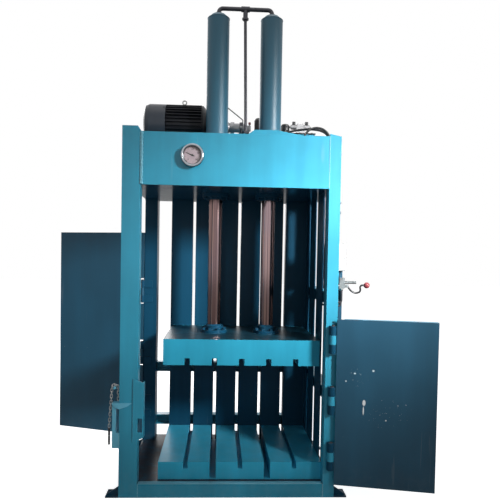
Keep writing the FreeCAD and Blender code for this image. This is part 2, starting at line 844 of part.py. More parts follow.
def route_along(points, bend=None):
    """The path through straight runs joined by tangent arcs, and the radius of each arc."""
    points = [Vector(*(float(value) for value in point)) for point in points]
    edges = []
    radii = []
    start = points[0]
    for before, corner, after in zip(points, points[1:], points[2:]):
        run_in = corner - before
        run_out = after - corner
        turn = run_in.getAngle(run_out)
        shorter = min(run_in.Length, run_out.Length)
        radii.append(bend if bend else 0.45 * shorter / math.tan(turn / 2))
        reach = radii[-1] * math.tan(turn / 2)
        arc_start = corner - run_in.normalize() * reach
        arc_end = corner + run_out.normalize() * reach
        middle = corner + (run_out - run_in).normalize() * radii[-1] * (1 / math.cos(turn / 2) - 1)
        edges.append(Part.LineSegment(start, arc_start).toShape())
        edges.append(Part.Arc(arc_start, middle, arc_end).toShape())
        start = arc_end
    edges.append(Part.LineSegment(start, points[-1]).toShape())
    return Part.Wire(edges), radii


def tube_on(path, radius):
    """A round tube swept along a path."""
    first = path.OrderedEdges[0]
    direction = first.tangentAt(first.FirstParameter)
    section = Part.Wire(Part.makeCircle(float(radius), first.valueAt(first.FirstParameter), direction))
    item = doc.addObject("Part::Feature", "Tube")
    item.Shape = path.makePipeShell([section], True, False)
    return item


def tube_along(points, radius, bend=None):
    """A bent tube made from the points of its route."""
    path, _ = route_along(points, bend)
    return tube_on(path, radius)


def hose(points):
    """A hydraulic hose; prints its bends and how its volume compares with section times length."""
    path, radii = route_along(points)
    item = tube_on(path, d.hose_radius)
    plain = math.pi * float(d.hose_radius) ** 2 * path.Length
    print("hose bends", [round(radius) for radius in radii],
          "length", round(path.Length), "volume share", round(item.Shape.Volume / plain, 4))
    return item


def slanted_bar(start, end, radius):
    """A round bar between two places."""
    start = Vector(*(float(value) for value in start))
    end = Vector(*(float(value) for value in end))
    item = doc.addObject("Part::Feature", "SlantedBar")
    item.Shape = Part.makeCylinder(float(radius), (end - start).Length, start, end - start)
    return item


def crossover():
    """The pipe that joins both cylinder heads, its tee, riser and fittings."""
    left, right = CYLINDER_X
    y = CYLINDER_Y
    nut = d.port_nut_height
    foot = BARREL_END + nut
    level = foot + d.pipe_rise
    finish(tube_along([(left, y, foot), (left, y, level), (right, y, level), (right, y, foot)],
                      d.pipe_radius, float(d.pipe_bend) * 0.9), "crossover_pipe")
    middle = CHAMBER_MIDDLE
    hole = bar((left, y, level), d.pipe_radius + d.fit_gap, right - left, "X")
    tee_body = fuse(bar((middle - d.tee_length / 2, y, level), d.tee_radius, d.tee_length, "X"),
                    bar((middle, y, level - d.tee_length), d.tee_radius * 0.85, d.tee_length))
    tee = cut(tee_body, hole)
    riser_top = level - d.tee_length
    nuts = [hexagon((x, y, BARREL_END), d.port_nut_across, nut) for x in (left, right)]
    tee_nut = hexagon((middle, y, riser_top - nut), d.port_nut_across * 0.9, nut)
    manifold_top = BEAM_TOP + d.manifold_height
    foot_x = MANIFOLD_X
    half = d.manifold_width / 2
    manifold = span((foot_x - half, y - half, BEAM_TOP), (foot_x + half, y + half, manifold_top))
    foot_nut = hexagon((foot_x, y, manifold_top), d.port_nut_across, nut)
    port_x, port_y, port_z = MANIFOLD_PORT
    stem = d.elbow_size * 0.4
    face = y + half
    elbow = fuse(bar((foot_x, face, port_z), stem, port_y - face, "Y"),
                 bar((foot_x - stem, port_y, port_z), stem, port_x - foot_x + stem, "X"),
                 hexagon((foot_x + stem * 0.5, port_y, port_z), d.elbow_size, port_x - foot_x - stem * 0.5,
                         "X"))
    bulkhead = fuse(bar((BULKHEAD_X, PORTS_Y[0], BEAM_TOP), d.hose_radius + 1, d.hose_foot),
                    hexagon((BULKHEAD_X, PORTS_Y[0], BEAM_TOP), d.elbow_size, d.hose_foot * 0.4))
    finish(group(tee, *nuts, tee_nut, fuse(manifold, elbow), foot_nut, bulkhead), "pipe_fittings")
    seat = nut + d.fit_gap * 2
    finish(slanted_bar((foot_x, y, manifold_top + seat), (middle, y, riser_top - seat),
                       d.riser_radius), "riser_pipe")


# ---------------------------------------------------------------- power unit

def motor():
    """A finned, fan-cooled electric motor lying on two rails, with its rotor and fan."""
    left = MOTOR_LEFT
    body_left = left + d.cowl_length
    y = MOTOR_Y
    wall = d.column_wall * 2
    length = d.motor_length
    core = d.motor_core_radius
    bore = d.motor_bore
    shaft = d.shaft_radius
    spigot = d.motor_radius - d.cowl_wall - d.fit_gap
    housing = turned([
        (shaft + d.fit_gap, 0), (spigot, 0), (spigot, wall), (core, wall * 1.5),
        (core, length + wall), (bore, length + wall), (bore, wall * 2), (shaft + d.fit_gap, wall * 2),
    ], (body_left - wall, y, MOTOR_Z), "X")
    half = d.fin_thickness / 2
    fin = pad(housing, "YZ", [rectangle(-half, wall * 1.2, half, length + wall)],
              core - 2, d.motor_radius)
    around(housing, fin, "Z_Axis", d.fin_count)
    foot = d.foot_pad
    feet = []
    for x in (body_left + foot * 0.5, body_left + length - foot * 1.5):
        for side in (-1, 1):
            edge = y + side * (core + foot)
            low, high = (edge, y - core * 0.5) if side < 0 else (y + core * 0.5, edge)
            rail_top = BEAM_TOP + d.motor_rail
            feet.append(span((x, low, rail_top), (x + foot, high, rail_top + foot)))
    clearance = bar((body_left - wall, y, MOTOR_Z), core - 1, length + wall * 2, "X")
    finish(fuse(housing, cut(fuse(*feet), clearance)), "motor_housing")
    rails = [span((body_left + foot * 0.3, y + side * (core + foot * 0.4) - foot / 2, BEAM_TOP),
                  (body_left + length - foot * 0.3, y + side * (core + foot * 0.4) + foot / 2,
                   BEAM_TOP + d.motor_rail)) for side in (-1, 1)]
    finish(group(*rails), "motor_rails")
    motor_cowl(left, y)
    motor_turning_parts(left, body_left, y)
    box_top = MOTOR_Z + core * 0.55
    finish(cut(span((body_left + length * 0.3, y + core * 0.7, MOTOR_Z - core * 0.2),
                    (body_left + length * 0.7, y + core + d.foot_pad * 1.6, box_top)),
               bar((body_left - wall, y, MOTOR_Z), d.motor_radius + d.fit_gap,
                   length + wall * 2, "X")), "terminal_box")
    ring = doc.addObject("Part::Torus", "Ring")
    ring.setExpression("Radius1", d.eye_radius.formula)
    ring.setExpression("Radius2", d.eye_wire.formula)
    seat = MOTOR_Z + d.motor_radius + d.fit_gap
    eye_x = body_left + length * 0.5
    place(ring, (eye_x, y, seat + d.eye_radius + d.eye_wire * 1.5), TURNS["Y"])
    stem = bar((eye_x, y, seat), d.eye_wire * 2, d.eye_wire * 1.5)
    finish(fuse(ring, stem), "eyebolt")


def motor_cowl(left, y):
    """The fan cowl: a spun cup with a rounded rim and a ring of air slots in its end."""
    outer = d.motor_radius
    wall = d.cowl_wall
    length = d.cowl_length
    bend = d.cowl_round
    cowl = turned([
        (0, 0), (outer - bend, 0), (outer - bend * 0.3, bend * 0.3), (outer, bend), (outer, length),
        (outer - wall, length), (outer - wall, bend), (outer - bend * 0.3 - wall, bend * 0.3 + wall),
        (outer - bend, wall), (0, wall),
    ], (left, y, MOTOR_Z), "X")
    half = d.grille_slot_width / 2
    slot = pocket(cowl, "XY", [rectangle(outer * 0.3, -half, outer * 0.72, half)], -1, wall + 1)
    around(cowl, slot, "Z_Axis", d.grille_slots)
    finish(cowl, "fan_cowl")


def motor_turning_parts(left, body_left, y):
    """Rotor with its shaft, the cooling fan on its tail and the drive end shield."""
    shaft = d.shaft_radius
    wall = d.column_wall * 2
    length = d.motor_length
    tail = d.cowl_length * 0.75
    core_start = tail + wall * 2
    core_end = tail + length - wall * 2
    coupling = core_end + wall * 2 + d.end_shield + d.bell_length * 0.25
    end = coupling + d.bell_length * 0.3
    finish(turned([
        (0, 0), (shaft, 0), (shaft, core_start), (d.rotor_radius, core_start),
        (d.rotor_radius, core_end), (shaft, core_end), (shaft, coupling), (shaft * 2, coupling),
        (shaft * 2, end), (0, end),
    ], (body_left - tail, y, MOTOR_Z), "X"), "motor_shaft")
    width = d.fan_width
    start = body_left - tail + wall
    hub = cut(fuse(bar((start, y, MOTOR_Z), shaft * 2, width, "X"),
                   bar((start + width * 0.85, y, MOTOR_Z), d.fan_radius * 0.8, width * 0.15, "X")),
              bar((start - 1, y, MOTOR_Z), shaft + d.fit_gap, width + 2, "X"))
    blades = []
    for index in range(int(d.fan_blades.number)):
        blade = box((0, 0, 0), (width * 0.9, d.fin_thickness, d.fan_radius - shaft * 1.8))
        turn = Rotation(Vector(1, 0, 0), 360 * index / d.fan_blades.number)
        lift = turn.multVec(Vector(0, -float(d.fin_thickness) / 2, float(shaft) * 1.8))
        place(blade, (start, y + lift.y, MOTOR_Z + lift.z), turn)
        blades.append(blade)
    finish(fuse(hub, *blades), "cooling_fan")
    shield = d.end_shield
    bolt_face = d.bell_radius
    finish(turned([
        (shaft + d.fit_gap, 0), (d.motor_radius - 4, 0), (d.motor_radius - 4, shield * 0.35),
        (bolt_face, shield), (shaft + d.fit_gap, shield),
    ], (body_left + length, y, MOTOR_Z), "X"), "end_shield")


def pump_and_bell():
    """The cast bell housing on the end shield and the gear pump bolted to it."""
    start = PUMP_START - d.bell_length
    y = MOTOR_Y
    length = d.bell_length
    wall = d.bell_wall
    wide = d.bell_radius
    narrow = d.bell_end_radius
    finish(turned([
        (wide - wall * 2, 0), (wide, 0), (wide, wall * 1.5), (wide - wall, wall * 1.5),
        (narrow - wall, length - wall * 2), (narrow, length - wall * 2), (narrow, length),
        (wall * 2, length), (wall * 2, length - wall), (narrow - wall * 2, length - wall * 2),
        (wide - wall * 2, wall * 2),
    ], (start, y, MOTOR_Z), "X"), "bell_housing")
    start = start + length
    flange = bar((start, y, MOTOR_Z), narrow, wall, "X")
    rise = d.pump_rise
    radius = d.pump_radius
    lobes = [bar((start, y, MOTOR_Z + z), radius, d.pump_length, "X") for z in (-rise, rise)]
    block = span((start, y - radius, MOTOR_Z - rise),
                 (start + d.pump_length, y + radius, MOTOR_Z + rise))
    shaft = bar((start - length * 0.35, y, MOTOR_Z), d.shaft_radius * 0.6, length * 0.35, "X")
    ports = [bar((PUMP_PORT_X, y - radius - 12, MOTOR_Z), radius * 0.5, radius + 12, "Y"),
             bar((PUMP_PORT_X, y, MOTOR_Z), radius * 0.5, radius + 12, "Y")]
    size = d.relief_block
    end = start + d.pump_length
    relief = span((end, y - size / 2, MOTOR_Z - size * 0.55), (end + size, y + size / 2,
                                                             MOTOR_Z + size * 0.45))
    knob = d.relief_knob
    stem_x = end + size - knob
    stem = bar((stem_x, y, MOTOR_Z), knob * 0.5, size * 0.45 + knob * 2, "Z")
    ball = turned([(0, 0), (knob * 0.6, 0), (knob, knob * 0.5), (knob, knob * 1.3),
                   (knob * 0.6, knob * 1.8), (0, knob * 1.8)],
                  (stem_x, y, MOTOR_Z + size * 0.45 + knob * 1.5))
    finish(fuse(flange, *lobes, block, shaft, *ports, relief, stem, ball), "gear_pump")


def oil_tank():
    """The oil tank beside the pump, with its filter, filler cap and control valve."""
    left = TANK_LEFT
    right = TANK_RIGHT
    front = TANK_FRONT
    back = front + d.tank_depth
    lid_top = TANK_TOP
    wall = d.column_wall * 0.5
    shell = span((left, front, BEAM_TOP), (right, back, BEAM_TOP + d.tank_height))
    inside = span((left + wall, front + wall, BEAM_TOP + wall),
                  (right - wall, back - wall, BEAM_TOP + d.tank_height + 1))
    finish(cut(shell, inside), "oil_tank")
    rim = wall * 2
    lid = span((left - rim, front - rim, BEAM_TOP + d.tank_height), (right + rim, back + rim, lid_top))
    y = TANK_PORTS_Y
    radius = d.filter_radius
    height = d.filter_height
    return_filter = turned([
        (0, 0), (radius * 1.25, 0), (radius * 1.25, height * 0.12), (radius, height * 0.12),
        (radius, height * 0.85), (radius * 0.7, height), (0, height),
    ], (left + radius * 1.2, y, lid_top))
    radius = d.filler_radius
    height = d.filler_height
    filler = turned([
        (0, 0), (radius * 0.6, 0), (radius * 0.6, height * 0.4), (radius, height * 0.4),
        (radius, height * 0.9), (radius * 0.8, height), (0, height),
    ], (left + (right - left) * 0.54, y, lid_top))
    finish(group(lid, return_filter, filler), "tank_lid")
    length = d.valve_length
    width = d.valve_width
    x = CONTROL_X
    block_top = lid_top + width
    block = span((x, y - width / 2, lid_top), (x + length, y + width / 2, block_top))
    body = span((x + length * 0.15, y - width * 0.4, block_top),
                (x + length * 0.85, y + width * 0.4, block_top + width * 0.9))
    coil = d.solenoid_length
    z = block_top + width * 0.45
    coils = bar((x + length * 0.15 - coil, y, z), d.solenoid_radius, coil * 2 + length * 0.7, "X")
    finish(fuse(block, body, coils), "directional_valve")


def elbow_block(x, y, z):
    """A square pipe elbow about its middle."""
    half = d.elbow_size / 2
    return span((x - half, y - half, z - half), (x + half, y + half, z + half))


def valve_pipes():
    """Steel pipework: four lines to the hand valve, the pump's two lines and a pilot line."""
    radius = d.hose_radius
    bend = float(radius) * 2
    valve_left = VALVE_POST - d.valve_block_width / 2
    valve_bottom = d.spool_height - 40
    half = d.elbow_size / 2
    pipes = []
    for y, z in zip(PORTS_Y, (d.spool_height - 20, d.spool_height + 20)):
        pipe = tube_along([(valve_left, y, z), (PIPE_X, y, z), (PIPE_X, y, HOSE_FOOT)], radius, bend)
        nut = hexagon((PIPE_X, y, HOSE_FOOT - d.port_nut_height), d.hose_nut_across, d.port_nut_height)
        pipes.append(fuse(pipe, nut))
    pressure_y = TANK_FRONT - 25
    return_y = TANK_FRONT + 15
    pressure_z = BEAM_TOP + d.pressure_line_rise
    return_z = BEAM_TOP + d.return_line_rise
    pressure_low = d.spool_height - d.pressure_line_drop
    return_low = d.spool_height - d.return_line_drop
    for port_y, level, y, top in ((PORTS_Y[0], pressure_low, pressure_y, pressure_z),
                                  (PORTS_Y[1], return_low, return_y, return_z)):
        pipes.append(tube_along([
            (VALVE_POST, port_y, valve_bottom), (VALVE_POST, port_y, level),
            (PIPE_X, port_y, level), (PIPE_X, y, level), (PIPE_X, y, top - half),
        ], radius, bend))
        pipes.append(elbow_block(PIPE_X, y, top))
    port_front = MOTOR_Y - d.pump_radius - 12
    pipes += [
        bar((TANK_RIGHT, return_y, return_z), radius, PIPE_X - half - TANK_RIGHT, "X"),
        bar((PUMP_PORT_X + half, pressure_y, pressure_z), radius,
            PIPE_X - PUMP_PORT_X - d.elbow_size, "X"),
        elbow_block(PUMP_PORT_X, pressure_y, pressure_z),
        bar((PUMP_PORT_X, pressure_y, pressure_z + half), radius,
            MOTOR_Z - pressure_z - d.elbow_size),
        elbow_block(PUMP_PORT_X, pressure_y, MOTOR_Z),
        bar((PUMP_PORT_X, pressure_y + half, MOTOR_Z), radius, port_front - pressure_y - half, "Y"),
    ]
    port_back = MOTOR_Y + d.pump_radius + 12
    back = port_back + 42
    low = BEAM_TOP + d.tank_height * 0.55
    pipes.append(tube_along([
        (PUMP_PORT_X, port_back, MOTOR_Z), (PUMP_PORT_X, back, MOTOR_Z), (PUMP_PORT_X, back, low),
        (TANK_LEFT, back, low),
    ], d.suction_radius, 30))
    aside = (d.barrel_radius + d.pilot_radius) / math.sqrt(2)
    drop_x = PUMP_PORT_X + 16
    pipes.append(tube_along([
        (CYLINDER_X[0] + aside, CYLINDER_Y + aside, BEAM_TOP + d.pilot_rise),
        (drop_x, MOTOR_Y, MOTOR_Z + 63), (drop_x, MOTOR_Y, MOTOR_Z + d.pump_radius + d.pump_rise),
    ], d.pilot_radius, float(d.pilot_radius) * 2))
    finish(group(*pipes), "valve_pipes")


# The head hose's turning points: shares of its run to the manifold, of its swing and of its rise.
HEAD_HOSE = (
    (0, 0, 0.482), (0.079, 0.055, 0.858), (0.239, 0.406, 1), (0.41, 0.774, 0.972),
    (0.575, 1, 0.817), (0.72, 1, 0.597), (0.83, 0.779, 0.433),
)


def hydraulic_hoses():
    """Two hoses from the pipes beside the column: to the cylinders' heads and to their rod ends."""
    rod_y, head_y = PORTS_Y
    x, y, z = MANIFOLD_PORT
    run = PIPE_X - x
    head_hose = hose(
        [(PIPE_X, head_y, HOSE_FOOT)]
        + [(PIPE_X - run * along, head_y + d.hose_swing * across, HOSE_FOOT + d.hose_rise * up)
           for along, across, up in HEAD_HOSE]
        + [(x + run * 0.082, y, z), MANIFOLD_PORT])
    shoulder = HOSE_FOOT + d.arch_rise - d.arch_corner
    crown = HOSE_FOOT + d.arch_rise
    rod_hose = hose([
        (PIPE_X, rod_y, HOSE_FOOT), (PIPE_X, rod_y, shoulder), (PIPE_X - d.arch_corner, rod_y, crown),
        (BULKHEAD_X + d.arch_corner, rod_y, crown), (BULKHEAD_X, rod_y, shoulder),
        (BULKHEAD_X, rod_y, HOSE_FOOT),
    ])
    finish(group(head_hose, rod_hose), "hydraulic_hoses")


# ---------------------------------------------------------------- pressure gauge

def pressure_gauge():
    """A dial gauge on the beam's front plate: case with bezel, dial, needle and lens."""
    radius = d.gauge_radius
    depth = d.gauge_depth
    rim = d.gauge_bezel
    at = (GAUGE_X, FRONT, GAUGE_Z)
    turn = Rotation(Vector(1, 0, 0), 90)
    case = turned([
        (0, 0), (radius * 0.86, 0), (radius * 0.86, depth * 0.45), (radius, depth * 0.45),
        (radius, depth - rim * 0.5), (radius - rim * 0.5, depth), (radius - rim, depth),
        (radius - rim, depth * 0.5), (0, depth * 0.5),
    ], at)
    finish(place(case, at, turn), "gauge_case")
    dial = turned([(0, 0), (radius - rim - 1, 0), (radius - rim - 1, 2), (0, 2)], at)
    dial_at = (GAUGE_X, FRONT - depth * 0.5, GAUGE_Z)
    finish(place(dial, dial_at, turn), "gauge_dial")
    length = d.needle_length
    needle = new_body()
    pad(needle, "XZ", [[(-length * 0.28, -3), (-length * 0.28, 3), (0, 4.5), (length, 0.6),
                        (length, -0.6), (0, -4.5)]], -1.5, 0)
    pointer = fuse(needle, bar((0, -4, 0), 6.5, 4, "Y"))
    needle_at = (GAUGE_X, FRONT - depth * 0.5 - 2.5, GAUGE_Z)
    finish(place(pointer, needle_at, Rotation(Vector(0, 1, 0), 202)), "gauge_needle")
    lens = turned([(0, 0), (radius - rim - 1, 0), (radius - rim - 1, 2), (0, 4)], at)
    lens_at = (GAUGE_X, FRONT - depth + rim, GAUGE_Z)
    finish(place(lens, lens_at, turn), "gauge_lens")


# ---------------------------------------------------------------- doors

def door(name, at, angle, reach, bottom, height, knuckle, hinges, bar_side, start):
    """A plate door drawn along X from its hinge line, then turned to where it stands open.

    The bars and hinge straps are welded on one face: bar_side is 1 for +Y and -1 for -Y.
    The skin starts at start and is notched round each hinge where it begins before the knuckles.
    """
    edge = knuckle + d.knuckle_clearance
    skin_half = d.door_skin / 2
    turn = Rotation(Vector(0, 0, 1), angle.number)
    skin = span((start, -skin_half, bottom), (reach, skin_half, bottom + height))
    if start.number < edge.number:
        room = d.knuckle_clearance * 2
        skin = cut(skin, *[span((start - room, -skin_half * 2, z - room),
                                (edge, skin_half * 2, z + HINGE_LENGTH + d.hinge_pin_radius + room))
                           for z in hinges])
    finish(place(group(skin), at, turn), name + "_skin")
    low = skin_half if bar_side > 0 else -skin_half - d.door_bar_depth
    high = low + d.door_bar_depth
    bar_width = d.door_bar_width
    inset = edge + bar_width * 1.2
    pieces = [span((start, low, bottom), (start + bar_width, high, bottom + height))
              for start in (inset, reach - bar_width)]
    for share in (0, 1 / 3, 2 / 3, 1):
        z = bottom + (height - bar_width) * share
        pieces.append(span((inset + bar_width, low, z), (reach - bar_width, high, z + bar_width)))
    tall = d.knuckle_height
    strap_low = skin_half if bar_side > 0 else -skin_half - d.door_skin
    for z in hinges:
        foot = z + tall + d.knuckle_gap
        barrel = bar((0, 0, foot), knuckle, tall)
        strap = span((0, strap_low, foot), (inset - 1, strap_low + d.door_skin, foot + tall))
        hole = bar((0, 0, foot - 1), d.hinge_pin_radius + d.fit_gap, tall + 2)
        pieces.append(cut(fuse(barrel, strap), hole))
    finish(place(group(*pieces), at, turn), name + "_bars")


def hinge_pin(x, y, z):
    """A headed pin through the three knuckles of one hinge."""
    radius = d.hinge_pin_radius
    length = HINGE_LENGTH
    head = radius * 0.8
    return turned([(0, 0), (radius, 0), (radius, length), (radius * 1.3, length),
                   (radius * 1.3, length + head * 0.7), (radius, length + head), (0, length + head)],
                  (x, y, z))


def fixed_knuckles(x, y, z, radius, leaf_low, leaf_high):
    """The two fixed knuckles of one hinge, each with the leaf that joins it to its column."""
    tall = d.knuckle_height
    knuckles = []
    for start in (z, z + tall * 2 + d.knuckle_gap * 2):
        barrel = bar((x, y, start), radius, tall)
        leaf = span(leaf_low + (start,), leaf_high + (start + tall,))
        hole = bar((x, y, start - 1), d.hinge_pin_radius + d.fit_gap, tall + 2)
        knuckles.append(cut(fuse(barrel, leaf), hole))
    return knuckles


def hinge_heights(bottom, height, low, middle, top):
    """Where the three hinges of a door start: two from its lower edge, one from its top."""
    return (bottom + low, bottom + middle, bottom + height - top - HINGE_LENGTH)


def doors():
    """Both doors with the fixed knuckles and pins on the columns that carry them."""
    x = RIGHT - d.front_hinge_inset
    y = FRONT - d.front_hinge_offset
    radius = d.front_knuckle_radius
    hinges = hinge_heights(d.front_door_bottom, d.front_door_height, d.front_hinge_low,
                           d.front_hinge_middle, d.front_hinge_top)
    brackets = []
    pins = []
    for z in hinges:
        brackets += fixed_knuckles(x, y, z, radius, (x - radius, y), (x + radius, FRONT))
        pins.append(hinge_pin(x, y, z))
    door("front_door", (x, y, 0), -d.front_door_angle, d.front_door_reach, d.front_door_bottom,
         d.front_door_height, radius, hinges, 1, radius + d.knuckle_clearance)
    x = REAR_POST_LEFT - d.side_hinge_outset
    y = REAR_PLANE - d.side_hinge_forward
    radius = d.side_knuckle_radius
    hinges = hinge_heights(d.side_door_bottom, d.side_door_height, d.side_hinge_low,
                           d.side_hinge_middle, d.side_hinge_top)
    strap_end = REAR_POST_LEFT + d.rear_column_width * 0.65
    for z in hinges:
        brackets += fixed_knuckles(x, y, z, radius, (x, REAR_PLANE - d.door_skin),
                                   (strap_end, REAR_PLANE))
        pins.append(hinge_pin(x, y, z))
    door("side_door", (x, y, 0), d.side_door_angle, d.side_door_reach, d.side_door_bottom,
         d.side_door_height, radius, hinges, -1, -d.side_door_lip)
    finish(group(*brackets), "hinge_brackets")
    finish(group(*pins), "hinge_pins")


# ---------------------------------------------------------------- latch, keeper and chain

def latch_bracket():
    """The bracket on the left column's side, with the slot of the side door's locking bar."""
    outer = LEFT - d.latch_reach
    bottom = d.latch_bottom
    top = LATCH_TOP
    slot = LEFT - d.latch_slot
    back = FRONT + d.latch_depth
    outline = [
        (LEFT, bottom), (LEFT, bottom + d.latch_block), (slot, bottom + d.latch_block),
        (slot, top - d.latch_arm), (LEFT, top - d.latch_arm), (LEFT, top), (outer, top),
        (outer, bottom),
    ]
    plate = prism("XZ", [outline], FRONT, back)
    tongue = prism("XZ", [[(outer, top - d.latch_arm * 0.3), (outer, top),
                           (LEFT + d.left_column_width * 0.68, top),
                           (LEFT + d.left_column_width * 0.45, top - d.latch_arm * 0.5),
                           (LEFT, top - d.latch_arm)]], FRONT - d.keeper_plate, FRONT)
    peg_x, _, peg_z = CHAIN_PEG
    inner = peg_x + d.chain_bend
    half = d.chain_link_width / 2
    lug = span((inner - half, CHAIN_Y - half, top), (inner + half, CHAIN_Y + half, top + half))
    ear_low = CHAIN_Y + half + d.fit_gap * 2
    ear = span((peg_x - d.chain_peg_radius, ear_low, peg_z - d.chain_peg_radius),
               (LEFT, ear_low + d.keeper_plate, peg_z + d.chain_peg_radius))
    peg = bar((peg_x, FRONT + half * 0.5, peg_z), d.chain_peg_radius,
              ear_low - FRONT - half * 0.5, "Y")
    finish(group(fuse(plate, tongue, lug), fuse(ear, peg)), "latch_bracket")


def latch_keeper():
    """The folded keeper on the column's inner edge, with its slot and sloping ends."""
    left = LEFT_INNER - (d.keeper_width - d.keeper_reach)
    right = LEFT_INNER + d.keeper_reach
    bottom = d.keeper_bottom
    top = bottom + d.keeper_height
    slope = d.keeper_reach * 0.7
    plate = d.keeper_plate
    outline = [(left, bottom), (left, top), (right, top - slope), (right, bottom + slope)]
    slot_low = bottom + d.keeper_slot_rise
    slot = rectangle(LEFT_INNER, slot_low, right - plate, slot_low + d.keeper_slot_height)
    owner = prism("XZ", [outline, slot], FRONT - plate, FRONT)
    pad(owner, "XZ", [rectangle(right - plate, bottom + slope, right, top - slope)],
        FRONT, FRONT + d.latch_depth)
    pad(owner, "XY", [rectangle(LEFT_INNER, FRONT, right - plate, FRONT + d.latch_depth)],
        top - slope * 1.8, top - slope * 1.8 + plate)
    finish(owner, "latch_keeper")


def chain_link(centre, direction, quarter_turn):
    """One chain link: a hexagonal wire swept round a long oval that lies along its direction."""
    wire = float(d.chain_wire)
    half = float(d.chain_link_width) / 2 - wire
    top = float(d.chain_pitch) / 2 + wire
    shoulder = top - half * 0.7
    corners = [Vector(side * x, 0, side * z) for side in (1, -1)
               for x, z in ((half, -shoulder), (half, shoulder), (half / 2, top), (-half / 2, top))]
    angles = [math.pi * step / 3 for step in range(7)]
    ring = [corners[0] + Vector(math.cos(angle), math.sin(angle), 0) * wire for angle in angles]
    path = Part.makePolygon(corners + corners[:1])
    turn = Rotation(Vector(0, 0, 1), direction) * Rotation(Vector(0, 0, 1), quarter_turn)
    item = doc.addObject("Part::Feature", "Link")
    item.Shape = path.makePipeShell([Part.makePolygon(ring)], True, False, 1)
    item.Placement = Placement(centre, turn)
    return item


def chain():
    """The retaining chain: from the bracket over its peg and down outside to the locking pin."""
    bend = float(d.chain_bend)
    peg = Vector(*(float(value) for value in CHAIN_PEG))
    slack = float(d.chain_slack)
    step = float(d.chain_pitch) - slack
    top = float(LATCH_TOP + d.chain_link_width / 2)
    inner_run = peg.z - top - float(d.chain_wire) * 2 - slack
    lean = math.radians(float(d.chain_lean))
    hanging = Vector(-math.sin(lean), 0, -math.cos(lean))

    def joint(travelled):
        """Where the chain's joint lies after this much chain, from the lug upwards."""
        angle = min(max(travelled - inner_run, 0) / bend, math.pi - lean)
        straight = travelled - inner_run - bend * angle
        run = Vector(0, 0, straight) if angle == 0 else hanging * straight
        return peg + Vector(bend * math.cos(angle), 0, bend * math.sin(angle)) + run

    joints = [joint(step * index) for index in range(int(d.chain_links.number) + 1)]
    links = [chain_link((start + end) * 0.5, end - start, 90 * (index % 2))
             for index, (start, end) in enumerate(zip(joints, joints[1:]))]
    end = joints[-1]
    length = d.locking_pin_length
    radius = d.locking_pin_radius
    pin = turned([(0, 0), (radius, radius), (radius, length), (radius * 1.3, length),
                  (radius * 1.3, length + radius), (0, length + radius)],
                 (end.x, end.y, end.z - float(length + radius + d.chain_wire * 2) - slack))
    finish(group(*links, pin), "chain")


# ---------------------------------------------------------------- hand valve

def hand_valve():
    """The operator's lever valve on its post, with the control cabinet above it."""
    left = RIGHT + d.cabinet_gap
    half = d.cabinet_depth / 2
    bottom = CABINET_BOTTOM
    right = left + d.cabinet_width
    body = span((left, -half, bottom), (right, half, bottom + d.cabinet_height))
    shell = cut(body, span((left + 2, -half + 2, bottom + 2),
                           (right - 2, half - 14, bottom + d.cabinet_height - 2)))
    finish(shell, "control_cabinet")
    post_x = VALVE_POST
    post = d.valve_post_size
    low_x = post_x - post / 2
    foot = span((RIGHT, -post, 0), (post_x + post, post, 10))
    stand = span((low_x, -post / 2, 10), (low_x + post, post / 2, bottom))
    arm_z = d.upper_rail + d.wall_rail_height / 2
    arm = span((RIGHT, -post / 4, arm_z - 15), (low_x, post / 4, arm_z + 15))
    finish(fuse(foot, stand, arm), "valve_post")
    spool = d.spool_height
    valve_width = d.valve_block_width
    block_right = post_x + valve_width / 2
    block = span((post_x - valve_width / 2, VALVE_BACK - d.valve_block_depth, spool - 40),
                 (block_right, VALVE_BACK, spool + 40))
    y = VALVE_BACK - d.valve_block_depth * 0.45
    stub = bar((block_right, y, spool + 6), 10, d.spool_length, "X")
    eye = d.lever_eye_radius
    pivot = (block_right + eye * 1.6, spool - eye * 1.8)
    cheek = d.lever_cheek
    reach = d.lever_eye_width / 2 + d.fit_gap
    cheeks = [span((block_right, low, pivot[1] - eye), (pivot[0] + eye, low + cheek, pivot[1] + eye))
              for low in (y - reach - cheek, y + reach)]
    pin = bar((pivot[0], y - reach - cheek * 1.5, pivot[1]), d.lever_pin_radius,
              reach * 2 + cheek * 3, "Y")
    finish(fuse(block, stub, *cheeks, pin), "hand_valve")
    valve_lever(*pivot, y)


def valve_lever(x, z, y):
    """The bent lever rod with its eye on the valve's pin and a ball knob at its end."""
    eye = d.lever_eye_radius
    width = d.lever_eye_width
    knob_x = RIGHT + d.knob_outset
    knob = float(knob_x)
    start = float(x + eye)
    level = float(z)
    rod = tube_along([
        (start - 4, y, level), (start + 20, y, level - 34), (start + 58, y, level - 54),
        (start + 98, y, level - 40), (start + 88, y, level + float(d.knob_rise)),
        (knob - 6, y, level + float(d.knob_rise)),
    ], d.lever_rod_radius)
    hub = bar((x, y - width / 2, z), eye, width, "Y")
    hole = bar((x, y - width, z), d.lever_pin_radius + d.fit_gap, width * 2, "Y")
    finish(cut(fuse(hub, rod), hole), "valve_lever")
    ball = doc.addObject("Part::Sphere", "Ball")
    ball.setExpression("Radius", d.knob_radius.formula)
    place(ball, (knob_x, y, z + d.knob_rise))
    socket = bar((knob_x - d.knob_radius * 2, y, z + d.knob_rise), d.lever_rod_radius + d.fit_gap,
                 d.knob_radius * 2, "X")
    finish(cut(ball, socket), "lever_knob")


# ---------------------------------------------------------------- assembly

base_rails()
deck_plate()
columns()
anchor_feet()
top_beam()
rear_panels()
right_panels()
wall_rails()
floor_block()
platen()
ram_rods()
cylinders()
crossover()
motor()
pump_and_bell()
oil_tank()
valve_pipes()
hydraulic_hoses()
pressure_gauge()
doors()
latch_bracket()
latch_keeper()
chain()
hand_valve()
doc.recompute()

